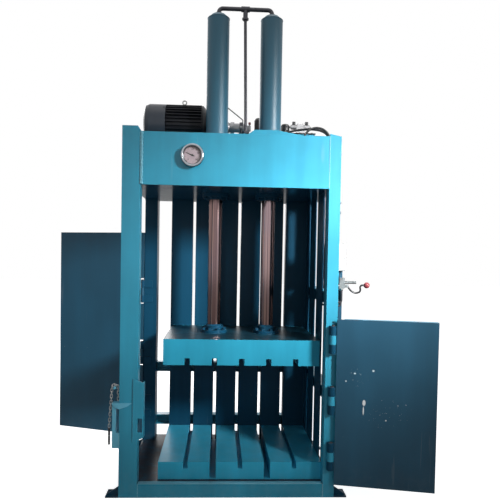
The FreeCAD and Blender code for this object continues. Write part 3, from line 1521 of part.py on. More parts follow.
faults = [item.Name for item in doc.Objects if {"Invalid", "Error"} & set(item.State)]
for item in finished:
    shape = item.Shape
    if shape.isNull() or not shape.isValid() or not shape.Solids:
        faults.append(item.Label)
if faults:
    raise RuntimeError("not sound: " + ", ".join(faults))

os.makedirs("parts", exist_ok=True)
for item in finished:
    item.Shape.exportStep(f"parts/{item.Label}.step")
print(len(finished), "sub-parts written")
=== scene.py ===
"""Finishes, small details and a plain studio for an upright recycling baler."""

import json
import math

import bmesh
import bpy
from bpy.props import FloatProperty, FloatVectorProperty, IntProperty, PointerProperty
from mathutils import Matrix, Vector


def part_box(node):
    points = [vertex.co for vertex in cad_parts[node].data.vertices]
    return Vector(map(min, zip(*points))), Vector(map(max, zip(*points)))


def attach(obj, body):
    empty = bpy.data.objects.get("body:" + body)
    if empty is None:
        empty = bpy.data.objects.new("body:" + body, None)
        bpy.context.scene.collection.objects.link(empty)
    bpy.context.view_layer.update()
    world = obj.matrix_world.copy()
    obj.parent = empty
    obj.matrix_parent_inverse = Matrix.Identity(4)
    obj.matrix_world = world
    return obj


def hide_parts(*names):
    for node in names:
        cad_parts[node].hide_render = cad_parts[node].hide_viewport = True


bl_info = {
    "name": "Recycling Baler Finisher",
    "version": (1, 0, 0),
    "blender": (4, 5, 0),
    "location": "View3D > Sidebar > Baler",
    "description": "Paints and details an upright recycling baler and lights it in a studio",
    "category": "Object",
}

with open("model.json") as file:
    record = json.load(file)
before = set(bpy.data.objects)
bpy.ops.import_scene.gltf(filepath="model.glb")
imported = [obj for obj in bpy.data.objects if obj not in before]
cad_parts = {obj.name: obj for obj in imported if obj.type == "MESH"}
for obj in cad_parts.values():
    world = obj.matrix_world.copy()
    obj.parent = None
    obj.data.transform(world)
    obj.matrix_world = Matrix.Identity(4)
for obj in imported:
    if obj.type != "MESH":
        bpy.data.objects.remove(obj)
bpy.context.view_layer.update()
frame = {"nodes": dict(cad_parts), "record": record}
NODES = frame["nodes"]


# ------------------------------------------------------------------ shader building

class Wire:
    """One output of a finish's nodes; arithmetic on it adds the Math nodes it needs."""

    def __init__(self, finish, socket):
        self.finish = finish
        self.socket = socket

    def __getitem__(self, name):
        return Wire(self.finish, self.socket.node.outputs[name])

    def combine(self, operation, *values):
        return self.finish.node("ShaderNodeMath", {"operation": operation}, dict(enumerate(values)))

    def __add__(self, other):
        return self.combine("ADD", self, other)

    def __sub__(self, other):
        return self.combine("SUBTRACT", self, other)

    def __rsub__(self, other):
        return self.combine("SUBTRACT", other, self)

    def __mul__(self, other):
        return self.combine("MULTIPLY", self, other)

    __radd__ = __add__
    __rmul__ = __mul__

    def either(self, other):
        """The larger of two values."""
        return self.combine("MAXIMUM", self, other)

    def step(self, low, high):
        """A soft step that rises from 0 at low to 1 at high, or falls where low is above high."""
        return self.finish.node("ShaderNodeMapRange", {"interpolation_type": "SMOOTHSTEP"},
                                {"Value": self, "From Min": low, "From Max": high})


class Finish:
    """A material, or a world, in the making: its nodes are added one by one."""

    def __init__(self, name, world=None):
        self.material = world or bpy.data.materials.new(name)
        self.material.use_nodes = True
        self.tree = self.material.node_tree
        self.tree.nodes.clear()

    def node(self, kind, settings=None, sockets=None):
        """Add a node, set its settings and then the values or links of its sockets."""
        item = self.tree.nodes.new(kind)
        for key, value in (settings or {}).items():
            setattr(item, key, value)
        for key, value in (sockets or {}).items():
            if isinstance(value, Wire):
                self.tree.links.new(value.socket, item.inputs[key])
            else:
                item.inputs[key].default_value = value
        return Wire(self, item.outputs[0] if item.outputs else None)

    def place(self, stretch=(1, 1, 1), turn=(0, 0, 0)):
        """Places on the object in metres, stretched and turned for grain that has a direction."""
        spot = self.node("ShaderNodeTexCoord")["Object"]
        return self.node("ShaderNodeMapping", None,
                         {"Vector": spot, "Scale": stretch, "Rotation": turn})

    def noise(self, scale, detail=3, rough=0.55, stretch=(1, 1, 1), turn=(0, 0, 0), distort=0):
        return self.node("ShaderNodeTexNoise", None, {
            "Vector": self.place(stretch, turn), "Scale": scale, "Detail": detail,
            "Roughness": rough, "Distortion": distort})

    def mix(self, share, first, second):
        """Blend two colours by a share from 0 to 1."""
        blended = self.node("ShaderNodeMix", {"data_type": "RGBA"},
                            {0: share, 6: opaque(first), 7: opaque(second)})
        return blended[2]

    def edges(self, width):
        """How near a surface point is to a sharp edge, from 0 to 1, and its rounded normal."""
        rounded = self.node("ShaderNodeBevel", {"samples": 4}, {"Radius": width})
        plain = self.node("ShaderNodeNewGeometry")["Normal"]
        closeness = self.node("ShaderNodeVectorMath", {"operation": "DOT_PRODUCT"},
                              {0: rounded, 1: plain})["Value"]
        return (1 - closeness), rounded

    def scar(self, middle, reach, share):
        """Ragged flecks inside an oval: middle and half sizes in metres, and how much is bare."""
        spot = self.node("ShaderNodeTexCoord")["Object"]
        away = self.node("ShaderNodeVectorMath", {"operation": "SUBTRACT"}, {0: spot, 1: middle})
        away = self.node("ShaderNodeVectorMath", {"operation": "DIVIDE"}, {0: away, 1: reach})
        length = self.node("ShaderNodeVectorMath", {"operation": "LENGTH"}, {0: away})["Value"]
        flecks = self.noise(FLECKS, 3, 0.65)
        least = 0.74 - share * 0.5
        return length.step(1, 0.6) * flecks.step(least, least + 0.04)

    def bump(self, height, strength, distance, normal=None):
        """A normal that follows a height, on top of another normal where one is given."""
        sockets = {"Height": height, "Strength": strength, "Distance": distance}
        if normal is not None:
            sockets["Normal"] = normal
        return self.node("ShaderNodeBump", None, sockets)

    def surface(self, **inputs):
        """Close the material with its main shader; words are joined by underscores."""
        shader = self.node("ShaderNodeBsdfPrincipled", None,
                           {key.replace("_", " "): value for key, value in inputs.items()})
        self.node("ShaderNodeOutputMaterial", None, {"Surface": shader})
        return self.material


def opaque(colour):
    """A colour with its fourth channel, as sockets want it; a wire stays as it is."""
    return colour if isinstance(colour, Wire) else (*tuple(colour)[:3], 1)


# ------------------------------------------------------------------ finishes

# How fine each pattern of a finish is, in cells per metre.
PATCHES = 1.7
WAVES = 2.8
RUNS = 9
CLOUD = 14
SCRATCHES = 30
SPOTS = 46
FLECKS = 95
SPECKLE = 120
PEEL = 420

# Below this height the floor's dust settles on the paint.
DUST_LINE = 0.3


def shaded(colour, factor, lift=0):
    """A colour made darker or lighter, kept within what a surface can have."""
    return tuple(min(channel * factor + lift, 1) for channel in colour)


# Where the front door's paint is knocked off: middle, half sizes and bare share.
DOOR_SCARS = (
    ((0.84, -0.56, 0.82), (0.08, 0.3, 0.08), 0.16),
    ((1.02, -0.56, 0.60), (0.20, 0.3, 0.12), 0.13),
    ((0.882, -0.56, 0.655), (0.012, 0.3, 0.024), 1),
    ((0.879, -0.56, 0.604), (0.005, 0.3, 0.034), 1),
    ((0.821, -0.56, 0.845), (0.009, 0.3, 0.007), 1),
    ((0.936, -0.56, 0.868), (0.008, 0.3, 0.008), 1),
    ((0.766, -0.56, 0.792), (0.006, 0.3, 0.006), 1),
    ((1.020, -0.56, 0.548), (0.005, 0.3, 0.006), 1),
)


def machine_paint(name, colour, wear, gloss=0.3, tops=None, scars=(), shine=0.5):
    """Sprayed gloss enamel: faded patches, runs, floor dust and chips along the edges.

    tops is the colour that lies on upward faces, and scars are places where the paint is knocked
    off: each has its middle, its half sizes and how much of it is bare.
    """
    look = bpy.context.scene.baler_finish
    f = Finish(name)
    patches = f.noise(PATCHES, 4)
    runs = f.noise(RUNS, 3, stretch=(1, 1, 0.09))
    cloud = f.noise(CLOUD, 5, 0.7)
    tone = patches.step(0.3, 0.72) * 0.6 + runs.step(0.35, 0.7) * 0.4
    paint = f.mix(tone, shaded(colour, 0.84), shaded(colour, 1.14))

    height = f.node("ShaderNodeSeparateXYZ", None, {0: f.place()})["Z"]
    facing_up = f.node("ShaderNodeSeparateXYZ", None,
                       {0: f.node("ShaderNodeNewGeometry")["Normal"]})["Z"].step(0.6, 0.95)
    dust = height.step(DUST_LINE, 0.0) * cloud.step(0.35, 0.75) * look.floor_dust
    if tops is None:
        dust = dust + facing_up * cloud.step(0.3, 0.8) * look.top_dust
    else:
        paint = f.mix(facing_up * (cloud.step(0.2, 0.6) * 0.2 + 0.8), paint, tops)
    paint = f.mix(dust, paint, look.dust)

    near_edge, rounded = f.edges(look.edge_width)
    chips = near_edge.step(0.02, 0.12) * f.noise(SPECKLE, 5, 0.75).step(0.52, 0.62)
    spots = f.noise(SPOTS, 2, 0.5).step(0.76, 0.8) * patches.step(0.52, 0.64)
    bare = (chips + spots).step(0.2, 0.8) * wear
    for middle, reach, share in scars:
        bare = bare + f.scar(middle, reach, share)
    scuffs = f.noise(SCRATCHES, 2, 0.6, stretch=(1, 1, 0.05), turn=(0, 0.5, 0.3), distort=0.4)
    scuffs = scuffs.step(0.68, 0.74) * f.noise(2.3, 2).step(0.5, 0.6) * wear
    paint = f.mix(scuffs * 0.2, paint, look.primer)
    paint = f.mix(bare.step(0, 1), paint, look.bare_metal if scars else look.primer)

    dullness = tone * 0.1 + dust * 0.4 + bare * 0.3 + scuffs * 0.2 + gloss
    skin = f.noise(PEEL, 2) * 0.15 + f.noise(WAVES, 1) * 4 - bare * 0.35
    return f.surface(Base_Color=paint, Roughness=dullness, Specular_IOR_Level=shine,
                     Normal=f.bump(skin, 0.35, 0.0009, rounded))


def chrome_finish(name):
    """Ground and plated rod with fine lengthwise lines and a warm film of oil."""
    look = bpy.context.scene.baler_finish
    f = Finish(name)
    lines = f.noise(75, 2, stretch=(1, 1, 0.004))
    film = f.noise(3.2, 3, stretch=(2, 2, 0.5)).step(0.4, 0.7)
    tint = f.mix(film * 0.5, look.chrome, look.oil_film)
    tint = f.mix(lines.step(0.44, 0.56) * 0.7, tint, look.rod_lines)
    return f.surface(Base_Color=tint, Metallic=1, Roughness=lines * 0.14 + film * 0.06 + 0.05)


def metal_finish(name, colour, rough, grime=0.3, metallic=1.0):
    """Turned, plated or cast metal with a little grime in cloudy patches."""
    look = bpy.context.scene.baler_finish
    f = Finish(name)
    cloud = f.noise(22, 5, 0.65)
    fine = f.noise(260, 3, 0.6)
    dirt = cloud.step(0.45, 0.75) * grime
    tint = f.mix(fine.step(0.3, 0.7), shaded(colour, 0.85), colour)
    tint = f.mix(dirt, tint, look.grime)
    near_edge, rounded = f.edges(0.0012)
    tint = f.mix(near_edge.step(0.05, 0.2) * 0.35, tint, shaded(colour, 1.5, 0.03))
    return f.surface(Base_Color=tint, Metallic=metallic - dirt * 0.6 * metallic,
                     Roughness=dirt * 0.35 + fine * 0.12 + rough,
                     Normal=f.bump(fine, 0.2, 0.0004, rounded))


def enamel_finish(name, colour, rough, dusty=0.35, shine=0.5):
    """Plain machine enamel on bought-in parts such as the motor and the valves."""
    look = bpy.context.scene.baler_finish
    f = Finish(name)
    cloud = f.noise(11, 5, 0.65)
    dust = cloud.step(0.4, 0.8) * dusty
    tint = f.mix(dust, colour, look.dust)
    near_edge, rounded = f.edges(0.0015)
    tint = f.mix(near_edge.step(0.05, 0.2) * 0.3, tint, shaded(colour, 2, 0.02))
    return f.surface(Base_Color=tint, Roughness=dust * 0.5 + rough, Specular_IOR_Level=shine,
                     Normal=f.bump(f.noise(350, 2), 0.25, 0.0004, rounded))


def moulded_finish(name, colour, rough):
    """Moulded plastic or rubber with a faint grain."""
    f = Finish(name)
    grain = f.noise(600, 2)
    worn = f.noise(40, 4).step(0.5, 0.8)
    tint = f.mix(worn * 0.4, colour, shaded(colour, 1.3, 0.015))
    return f.surface(Base_Color=tint, Roughness=worn * 0.15 + rough,
                     Normal=f.bump(grain, 0.2, 0.0003))


def dial_finish(name):
    """Printed dial enamel, a little yellowed in patches."""
    look = bpy.context.scene.baler_finish
    f = Finish(name)
    age = f.noise(25, 3).step(0.4, 0.8)
    return f.surface(Base_Color=f.mix(age * 0.4, look.dial, shaded(look.dial, 0.85)),
                     Roughness=age * 0.1 + 0.35)


def lens_finish(name):
    """Clear gauge glass with a few faint smears."""
    f = Finish(name)
    smears = f.noise(30, 3, stretch=(1, 1, 0.3)).step(0.5, 0.8)
    return f.surface(Base_Color=(0.1, 0.1, 0.1, 1), Roughness=smears * 0.2 + 0.02,
                     Alpha=smears * 0.05 + 0.08)


FINISH_OF_SLOT = {}
FINISH_OF_NODE = {}


def make_finishes():
    """Make every finish once and keep it under the record's slot name."""
    look = bpy.context.scene.baler_finish
    FINISH_OF_SLOT.update({
        "painted_blue": machine_paint("blue_enamel", look.paint, look.wear),
        "dark_blue": machine_paint("door_enamel", look.door_paint, look.wear, 0.36, shine=0.35),
        "black_paint": enamel_finish("black_enamel", (0.008, 0.009, 0.011), 0.35, 0.08),
        "grey_paint": enamel_finish("motor_enamel", look.motor_paint, 0.4, 0.03, 0.2),
        "pale_paint": enamel_finish("cabinet_enamel", look.cabinet_paint, 0.4, 0.08),
        "steel": metal_finish("zinc_steel", (0.45, 0.45, 0.44), 0.35),
        "dark_steel": metal_finish("pipe_steel", (0.07, 0.07, 0.08), 0.4, 0.35, 0.8),
        "chrome": chrome_finish("plated_rod"),
        "cast_aluminium": metal_finish("cast_alloy", (0.42, 0.42, 0.43), 0.5, 0.4),
        "cast_iron": metal_finish("machined_iron", (0.14, 0.13, 0.13), 0.45, 0.3),
        "rubber": moulded_finish("hose_rubber", (0.014, 0.014, 0.015), 0.55),
        "red_plastic": moulded_finish("knob_red", look.knob, 0.22),
        "black_plastic": moulded_finish("moulded_black", (0.02, 0.02, 0.022), 0.4),
        "dial_white": dial_finish("dial_enamel"),
        "lens_clear": lens_finish("gauge_glass"),
    })
    # The chamber enamel is the blue enamel made far darker: painted shade on the walls, columns,
    # flanges, glands, feet and hinge brackets it covers.
    chamber = machine_paint("chamber_enamel", look.chamber_paint, look.wear, 0.3, shine=0.12)
    cylinder = machine_paint("cylinder_enamel", look.cylinder_paint, look.wear, 0.42, shine=0.6)
    FINISH_OF_NODE.update({
        "rear_panels": chamber, "right_panels": chamber, "rear_columns": chamber,
        # The beam's underside takes the same darkened colour: painted shade under the beam.
        "beam_bottom_plate": machine_paint("underside_enamel", look.chamber_paint, 0.1, 0.12),
        "rod_flanges": chamber, "cylinder_glands": chamber, "anchor_feet": chamber,
        "hinge_brackets": chamber,
        "floor_block": machine_paint("block_enamel", look.block_paint, look.wear, shine=0.1),
        # The latch bracket takes a lighter, paler copy of the blue enamel: painted light on its
        # faces.
        "latch_bracket": machine_paint("bracket_enamel", look.bracket_paint, look.wear),
        # The deck's upward faces turn to a near-black colour.
        "deck_plate": machine_paint("deck_enamel", look.paint, look.wear, tops=look.deck_grime,
                                    shine=0.08),
        "left_barrel": cylinder, "right_barrel": cylinder,
        # The platen's upward faces turn almost black: painted shade on its top.
        "platen": machine_paint("platen_enamel", look.paint, look.wear, tops=look.oily_top,
                                shine=0.12),
        "front_door_skin": machine_paint("front_door_enamel", look.door_paint, look.wear,
                                         scars=DOOR_SCARS),
        "fan_cowl": enamel_finish("cowl_enamel", look.cowl_paint, 0.35, 0.03, 0.35),
        "directional_valve": FINISH_OF_SLOT["cast_aluminium"],
        "valve_lever": FINISH_OF_SLOT["black_paint"],
        "hand_valve": metal_finish("valve_body", (0.19, 0.21, 0.215), 0.5, 0.4),
        "gauge_case": metal_finish("bezel_chrome", (0.36, 0.39, 0.42), 0.14, 0.15),
        # The welds and the deck nosing take a lighter, whiter copy of the blue enamel: painted
        # highlights on the beads and the ledge, with heavier real chipping.
        "painted_weld": machine_paint("painted_weld", look.weld_paint, look.wear * 1.5, 0.3),
        "print": moulded_finish("dial_print", (0.012, 0.012, 0.014), 0.5),
    })


# ------------------------------------------------------------------ mesh helpers

CREASE = math.radians(38)


def add_piece(name, build, body, slot, finish=None, smooth=True):
    """Make a piece from a function that fills its mesh; it rides on a body, in a slot's finish."""
    mesh = mesh_from(build, name)
    piece = bpy.data.objects.new(name, mesh)
    bpy.context.scene.collection.objects.link(piece)
    mesh.materials.append(finish or FINISH_OF_SLOT[slot])
    if smooth:
        mesh.shade_smooth()
        sharp = mesh.attributes.new("sharp_edge", "BOOLEAN", "EDGE")
        sharp.data.foreach_set("value", creases(mesh))
    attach(piece, body)
    return piece


def creases(mesh):
    """Which edges of a mesh turn sharply, so that smooth shading stops there."""
    shape = bmesh.new()
    shape.from_mesh(mesh)
    marks = [len(edge.link_faces) != 2 or edge.calc_face_angle(0) > CREASE
             for edge in shape.edges]
    shape.free()
    return marks


def mesh_from(build, name):
    """Run a function that fills a bmesh and return the mesh."""
    shape = bmesh.new()
    build(shape)
    mesh = bpy.data.meshes.new(name)
    shape.to_mesh(mesh)
    shape.free()
    return mesh


def sweep(shape, points, radius_at, sides, closed=False):
    """A tube through points with its own radius at each; ends are closed unless it is a loop."""
    count = len(points)
    rings = []
    side = None
    for index, point in enumerate(points):
        ahead = points[(index + 1) % count] if closed or index < count - 1 else point
        behind = points[index - 1] if closed or index else point
        along = (ahead - behind).normalized()
        if side is None:
            side = along.orthogonal().normalized()
        side = (side - along * side.dot(along)).normalized()
        up = along.cross(side)
        radius = radius_at(index)
        rings.append([shape.verts.new(point + (side * math.cos(a) + up * math.sin(a)) * radius)
                      for a in (2 * math.pi * k / sides for k in range(sides))])
    pairs = list(zip(rings, rings[1:])) + ([(rings[-1], rings[0])] if closed else [])
    for first, second in pairs:
        for k in range(sides):
            shape.faces.new((first[k], first[(k + 1) % sides], second[(k + 1) % sides], second[k]))
    if not closed:
        shape.faces.new(list(reversed(rings[0])))
        shape.faces.new(rings[-1])


def turned_profile(shape, outline, matrix, sides):
    """Turn a half outline of (radius, height) pairs about a matrix's Z axis."""
    rings = []
    for radius, height in outline:
        if radius < 1e-6:
            rings.append([shape.verts.new(matrix @ Vector((0, 0, height)))])
            continue
        rings.append([shape.verts.new(matrix @ Vector((radius * math.cos(a), radius * math.sin(a),
                                                       height)))
                      for a in (2 * math.pi * k / sides for k in range(sides))])
    for first, second in zip(rings, rings[1:]):
        for k in range(sides):
            corners = [first[k % len(first)], first[(k + 1) % len(first)],
                       second[(k + 1) % len(second)], second[k % len(second)]]
            unique = list(dict.fromkeys(corners))
            if len(unique) > 2:
                shape.faces.new(unique)


def stepped(points, step, closed=False):
    """The corners of a line with even short steps between them."""
    points = [Vector(point) for point in points]
    line = []
    for first, second in zip(points, points[1:] + (points[:1] if closed else [])):
        count = max(1, round((second - first).length / step))
        line += [first.lerp(second, k / count) for k in range(count)]
    return line if closed else line + [points[-1]]


def ring_points(middle, radius, count=48):
    """Points round a level circle."""
    angles = (2 * math.pi * k / count for k in range(count))
    return [Vector(middle) + Vector((radius * math.cos(a), radius * math.sin(a), 0))
            for a in angles]


def weld_bead(shape, points, closed=False, size=1.0):
    """A rippled bead of weld along a line."""
    detail = bpy.context.scene.baler_detail
    line = stepped(points, detail.weld_ripple / 2, closed)
    radius = detail.weld_radius * size

    def rippled(k):
        return radius * (1 - 0.16 * (k % 2) + 0.08 * math.sin(k * 0.9))

    sweep(shape, line, rippled, 7, closed)


def facing(spot, direction):
    """A matrix that stands at a spot with its Z axis along a direction."""
    turn = Vector(direction).to_track_quat("Z", "Y").to_matrix().to_4x4()
    return Matrix.Translation(Vector(spot)) @ turn


def hex_head(shape, spot, direction, across, height):
    """A hexagon head with its rounded top and a washer under it."""
    matrix = facing(spot, direction)
    washer = across * 0.62
    seat = height * 0.18
    rim = across / math.sqrt(3)
    turned_profile(shape, [(0, 0), (washer, 0), (washer, seat), (across * 0.5, seat)], matrix, 20)
    turned_profile(shape, [(rim, seat), (rim, height * 0.85), (rim * 0.84, height), (0, height)],
                   matrix, 6)


def block(shape, low, high, bevel=0.001):
    """A rounded block between two corners."""
    made = bmesh.ops.create_cube(shape, size=1)
    size = Vector(high) - Vector(low)
    middle = (Vector(high) + Vector(low)) / 2
    for vert in made["verts"]:
        vert.co = Vector([a * b for a, b in zip(vert.co, size)]) + middle
    edges = {edge for vert in made["verts"] for edge in vert.link_edges}
    bmesh.ops.bevel(shape, geom=list(edges), offset=bevel, segments=2, profile=0.5,
                    affect="EDGES")


def upright(x, y, low, high):
    """The two ends of an upright line."""
    return [(x, y, low), (x, y, high)]


def centre(node):
    """The middle of a node's box."""
    low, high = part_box(node)
    return (low + high) / 2


def along_x(x, axis):
    """The point at x on a line that runs along X through a point."""
    return Vector((x, axis.y, axis.z))


def round_x(degrees):
    """A direction square to X, turned from the rear upwards."""
    angle = math.radians(degrees)
    return Vector((0, math.cos(angle), math.sin(angle)))


# ------------------------------------------------------------------ places in the frame

# Metres, in the frame's own directions: X to the right, Y to the rear, Z up.
RIGHT_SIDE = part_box("front_right_column")[1].x
REAR_COLUMN_WIDTH = 0.1
FOOT_GAP = 0.004  # from the lower end of an edge to the start of its bead

# The pipes run in pairs, and each pair of lines holds the depths of its two pipes.
PUMP_X = 0.074
PIPE_X = 0.729
FRONT_LINES = (-0.0515, -0.0245)
REAR_LINES = (0.100, 0.140)

# The chain rises from its lug, bends over the peg and hangs down beyond it with a slight lean.
CHAIN_PEG = Vector((-0.743, -0.465, 0.722))
CHAIN_BEND = 0.021
CHAIN_LUG_TOP = 0.634
CHAIN_SLACK = 0.0008
CHAIN_LEAN = math.radians(3.5)

# The lower and upper faces of the rails between the columns, from the lowest rail up.
RAIL_HEIGHTS = ((0.200, 0.280), (0.640, 0.720), (1.290, 1.370))

# Each hose: its route, its length and where its two collars sit.
HOSES = (
    ("head_hose", (
        (0.729, -0.0245, 2.4210), (0.729, -0.0245, 2.4890), (0.681, -0.0185, 2.5420),
        (0.584, 0.0195, 2.5620), (0.480, 0.0595, 2.5581), (0.380, 0.0840, 2.5362),
        (0.292, 0.0840, 2.5052), (0.225, 0.0600, 2.4821), (0.171, 0.0325, 2.4702),
        (0.1215, 0.0325, 2.4702),
    ), 0.734, (((0.729, -0.0245, 2.4210), (0, 0, 1)), ((0.1215, 0.0325, 2.4702), (1, 0, 0)))),
    ("rod_hose", (
        (0.729, -0.0515, 2.4210), (0.729, -0.0515, 2.4950), (0.670, -0.0515, 2.5540),
        (0.586, -0.0515, 2.5540), (0.527, -0.0515, 2.4950), (0.527, -0.0515, 2.4210),
    ), 0.384, (((0.729, -0.0515, 2.4210), (0, 0, 1)), ((0.527, -0.0515, 2.4210), (0, 0, 1)))),
)

# A hose collar's half outline: shares of the hose's radius, and heights from its port.
COLLAR_OUTLINE = (
    (0.4, 0.0005), (1.36, 0.0005), (1.36, 0.003), (1.5, 0.004), (1.5, 0.010), (1.38, 0.0115),
    (1.5, 0.013), (1.5, 0.019), (1.38, 0.0205), (1.5, 0.022), (1.5, 0.030), (1.2, 0.033),
    (0.9, 0.033),
)

# Where steel pipes enter a block, and which way they run from it.
PIPE_ENDS = (
    ((0.818, FRONT_LINES[0], 1.392), (-1, 0, 0)), ((0.818, FRONT_LINES[1], 1.432), (-1, 0, 0)),
    ((0.838, FRONT_LINES[0], 1.372), (0, 0, -1)), ((0.838, FRONT_LINES[1], 1.372), (0, 0, -1)),
    ((PIPE_X, REAR_LINES[0], 2.440), (0, 0, -1)),
    ((PIPE_X - 0.013, REAR_LINES[0], 2.453), (-1, 0, 0)),
    ((PIPE_X, REAR_LINES[1], 2.467), (0, 0, -1)),
    ((PIPE_X - 0.013, REAR_LINES[1], 2.480), (-1, 0, 0)),
    ((PUMP_X + 0.013, REAR_LINES[0], 2.453), (1, 0, 0)),
    ((PUMP_X, REAR_LINES[0], 2.466), (0, 0, 1)), ((PUMP_X, REAR_LINES[0], 2.588), (0, 0, -1)),
    ((PUMP_X, REAR_LINES[0] + 0.013, 2.601), (0, 1, 0)),
    ((0.640, REAR_LINES[1], 2.480), (1, 0, 0)),
)

# Each clamp: the two pipes it holds and its height; then the left and right faces of them all.
PIPE_CLAMPS = tuple((*lines, height) for height in (2.30, 2.10)
                    for lines in (FRONT_LINES, REAR_LINES))
CLAMP_FACES = (0.7125, 0.7420)

# How far the lid and the level glass stand out from the tank.
TANK_LID = 0.008
LEVEL_GLASS = 0.011
RELIEF_VALVE_TOP = 2.6292

# Each door: its turn at rest, hinge axis, lower edge, height, reach, the side of its bars, how far
# in they start, and the slot of their paint.
DOORS = {
    "front_door": (math.radians(-12), (0.678, -0.512), 0.098, 1.097, 0.665, 1, 0.074,
                   "painted_blue"),
    "side_door": (math.radians(161.6), (-0.692, 0.355), 0.130, 1.648, 0.762, -1, 0.065,
                  "dark_blue"),
}
DOOR_BAR = 0.04

# Each lamp: its setting, place, target, size and whether it shines as a narrow beam.
LAMPS = (
    ("key", (3.5, -3.7, 3.3), (0.82, -0.49, 1.85), (0.7, 0.9), True),
    ("fill", (-0.6, -6.5, 2.6), (0, 0, 1.4), (4.0, 3.0), False),
    ("back", (-2.2, 5.6, 3.4), (0, 0.4, 1.5), (3.0, 3.0), False),
    ("top", (0.4, -0.4, 6.0), (0, 0, 0), (3.0, 3.0), False),
)


# ------------------------------------------------------------------ settings

COLOUR = {"subtype": "COLOR", "min": 0, "max": 1}
SHARE = {"subtype": "FACTOR", "min": 0, "max": 1}


class BalerFinish(bpy.types.PropertyGroup):
    """Colours and wear of the machine."""

    paint: FloatVectorProperty(
        name="Paint", description="Colour of the blue enamel",
        default=(0.026, 0.300, 0.446), **COLOUR)
    cylinder_paint: FloatVectorProperty(
        name="Cylinder paint", description="Colour of the two cylinders",
        default=(0.014, 0.108, 0.169), **COLOUR)
    door_paint: FloatVectorProperty(
        name="Door paint", description="Colour of the doors' faces",
        default=(0.011, 0.073, 0.128), **COLOUR)
    # Painted highlight: a lighter copy of the blue enamel for the weld beads and the deck nosing.
    weld_paint: FloatVectorProperty(
        name="Weld lit paint", description="Colour of the painted welds",
        default=(0.19, 0.50, 0.62), **COLOUR)
    # Painted shade: the near-black colour laid on the platen's upward faces.
    oily_top: FloatVectorProperty(
        name="Shaded platen top", description="Colour of the ram's shadowed top",
        default=(0.005, 0.024, 0.038), **COLOUR)
    cowl_paint: FloatVectorProperty(
        name="Cowl paint", description="Colour of the fan cowl",
        default=(0.030, 0.038, 0.051), **COLOUR)
    block_paint: FloatVectorProperty(
        name="Floor block paint", description="Colour of the slotted block that carries the bale",
        default=(0.034, 0.360, 0.540), **COLOUR)
    # Painted light: a lighter copy of the blue enamel for the latch bracket's lit faces.
    bracket_paint: FloatVectorProperty(
        name="Bracket paint", description="Colour of the latch bracket's highlit enamel",
        default=(0.14, 0.50, 0.68), **COLOUR)
    # The near-black colour laid on the deck's upward faces.
    deck_grime: FloatVectorProperty(
        name="Dark deck top", description="Colour of the darkened deck",
        default=(0.020, 0.018, 0.028), **COLOUR)
    bare_metal: FloatVectorProperty(
        name="Bare metal", description="Colour of freshly scraped plate",
        default=(0.75, 0.78, 0.78), **COLOUR)
    # Painted shade: a far darker copy of the blue enamel for the chamber and the beam's underside.
    chamber_paint: FloatVectorProperty(
        name="Chamber shade paint", description="Colour of the paint inside the chamber",
        default=(0.005, 0.052, 0.100), **COLOUR)
    motor_paint: FloatVectorProperty(
        name="Motor paint", description="Colour of the motor's enamel",
        default=(0.007, 0.008, 0.012), **COLOUR)
    cabinet_paint: FloatVectorProperty(
        name="Cabinet paint", description="Colour of the control cabinet",
        default=(0.46, 0.48, 0.48), **COLOUR)
    knob: FloatVectorProperty(
        name="Lever knob", description="Colour of the valve lever's knob",
        default=(0.33, 0.06, 0.07), **COLOUR)
    chrome: FloatVectorProperty(
        name="Chrome", description="Colour of the plated rods",
        default=(0.30, 0.22, 0.235), **COLOUR)
    rod_lines: FloatVectorProperty(
        name="Rod lines", description="Colour of the lines along the rods",
        default=(0.085, 0.05, 0.055), **COLOUR)
    oil_film: FloatVectorProperty(
        name="Oil film", description="Tint of the oil on the rods",
        default=(0.42, 0.25, 0.18), **COLOUR)
    primer: FloatVectorProperty(
        name="Primer", description="Colour where the paint has chipped",
        default=(0.42, 0.44, 0.43), **COLOUR)
    dust: FloatVectorProperty(
        name="Dust", description="Colour of the dust that settles on it",
        default=(0.33, 0.32, 0.29), **COLOUR)
    grime: FloatVectorProperty(
        name="Grime", description="Colour of oil and dirt on metal",
        default=(0.03, 0.025, 0.02), **COLOUR)
    dial: FloatVectorProperty(
        name="Dial", description="Colour of the gauge's dial",
        default=(0.621, 0.499, 0.540), **COLOUR)
    wear: FloatProperty(
        name="Wear", description="How much of the paint has chipped", default=0.4, **SHARE)
    floor_dust: FloatProperty(
        name="Floor dust", description="Dust low on the machine", default=0.1, **SHARE)
    top_dust: FloatProperty(
        name="Top dust", description="Dust on upward faces", default=0.07, **SHARE)
    edge_width: FloatProperty(
        name="Edge width", description="Radius of the painted edges",
        default=0.003, min=0, unit="LENGTH")


class BalerDetail(bpy.types.PropertyGroup):
    """Sizes of the details that are added to the frame."""

    weld_radius: FloatProperty(
        name="Weld radius", description="Half width of a weld bead",
        default=0.005, min=0.001, unit="LENGTH")
    weld_ripple: FloatProperty(
        name="Weld ripple", description="Length of one ripple of a bead",
        default=0.007, min=0.002, unit="LENGTH")
    dial_marks: IntProperty(
        name="Dial marks", description="Number of steps on the gauge's scale",
        default=40, min=10, max=100)
    bolt_size: FloatProperty(
        name="Cover bolts", description="Width of small cover bolts",
        default=0.013, min=0.004, unit="LENGTH")
    nut_size: FloatProperty(
        name="Pipe nuts", description="Width of a compression nut over its flats",
        default=0.022, min=0.01, unit="LENGTH")
    hose_radius: FloatProperty(
        name="Hose radius", description="Radius of the hydraulic hoses",
        default=0.008, min=0.003, unit="LENGTH")
    link_pitch: FloatProperty(
        name="Link pitch", description="Inside length of one chain link",
        default=0.0204, min=0.006, unit="LENGTH")
    link_width: FloatProperty(
        name="Link width", description="Outside width of one chain link",
        default=0.019, min=0.005, unit="LENGTH")
    link_wire: FloatProperty(
        name="Link wire", description="Radius of the chain's wire",
        default=0.0026, min=0.0005, unit="LENGTH")
    link_count: IntProperty(
        name="Links", description="Number of links in the chain", default=21, min=4, max=80)


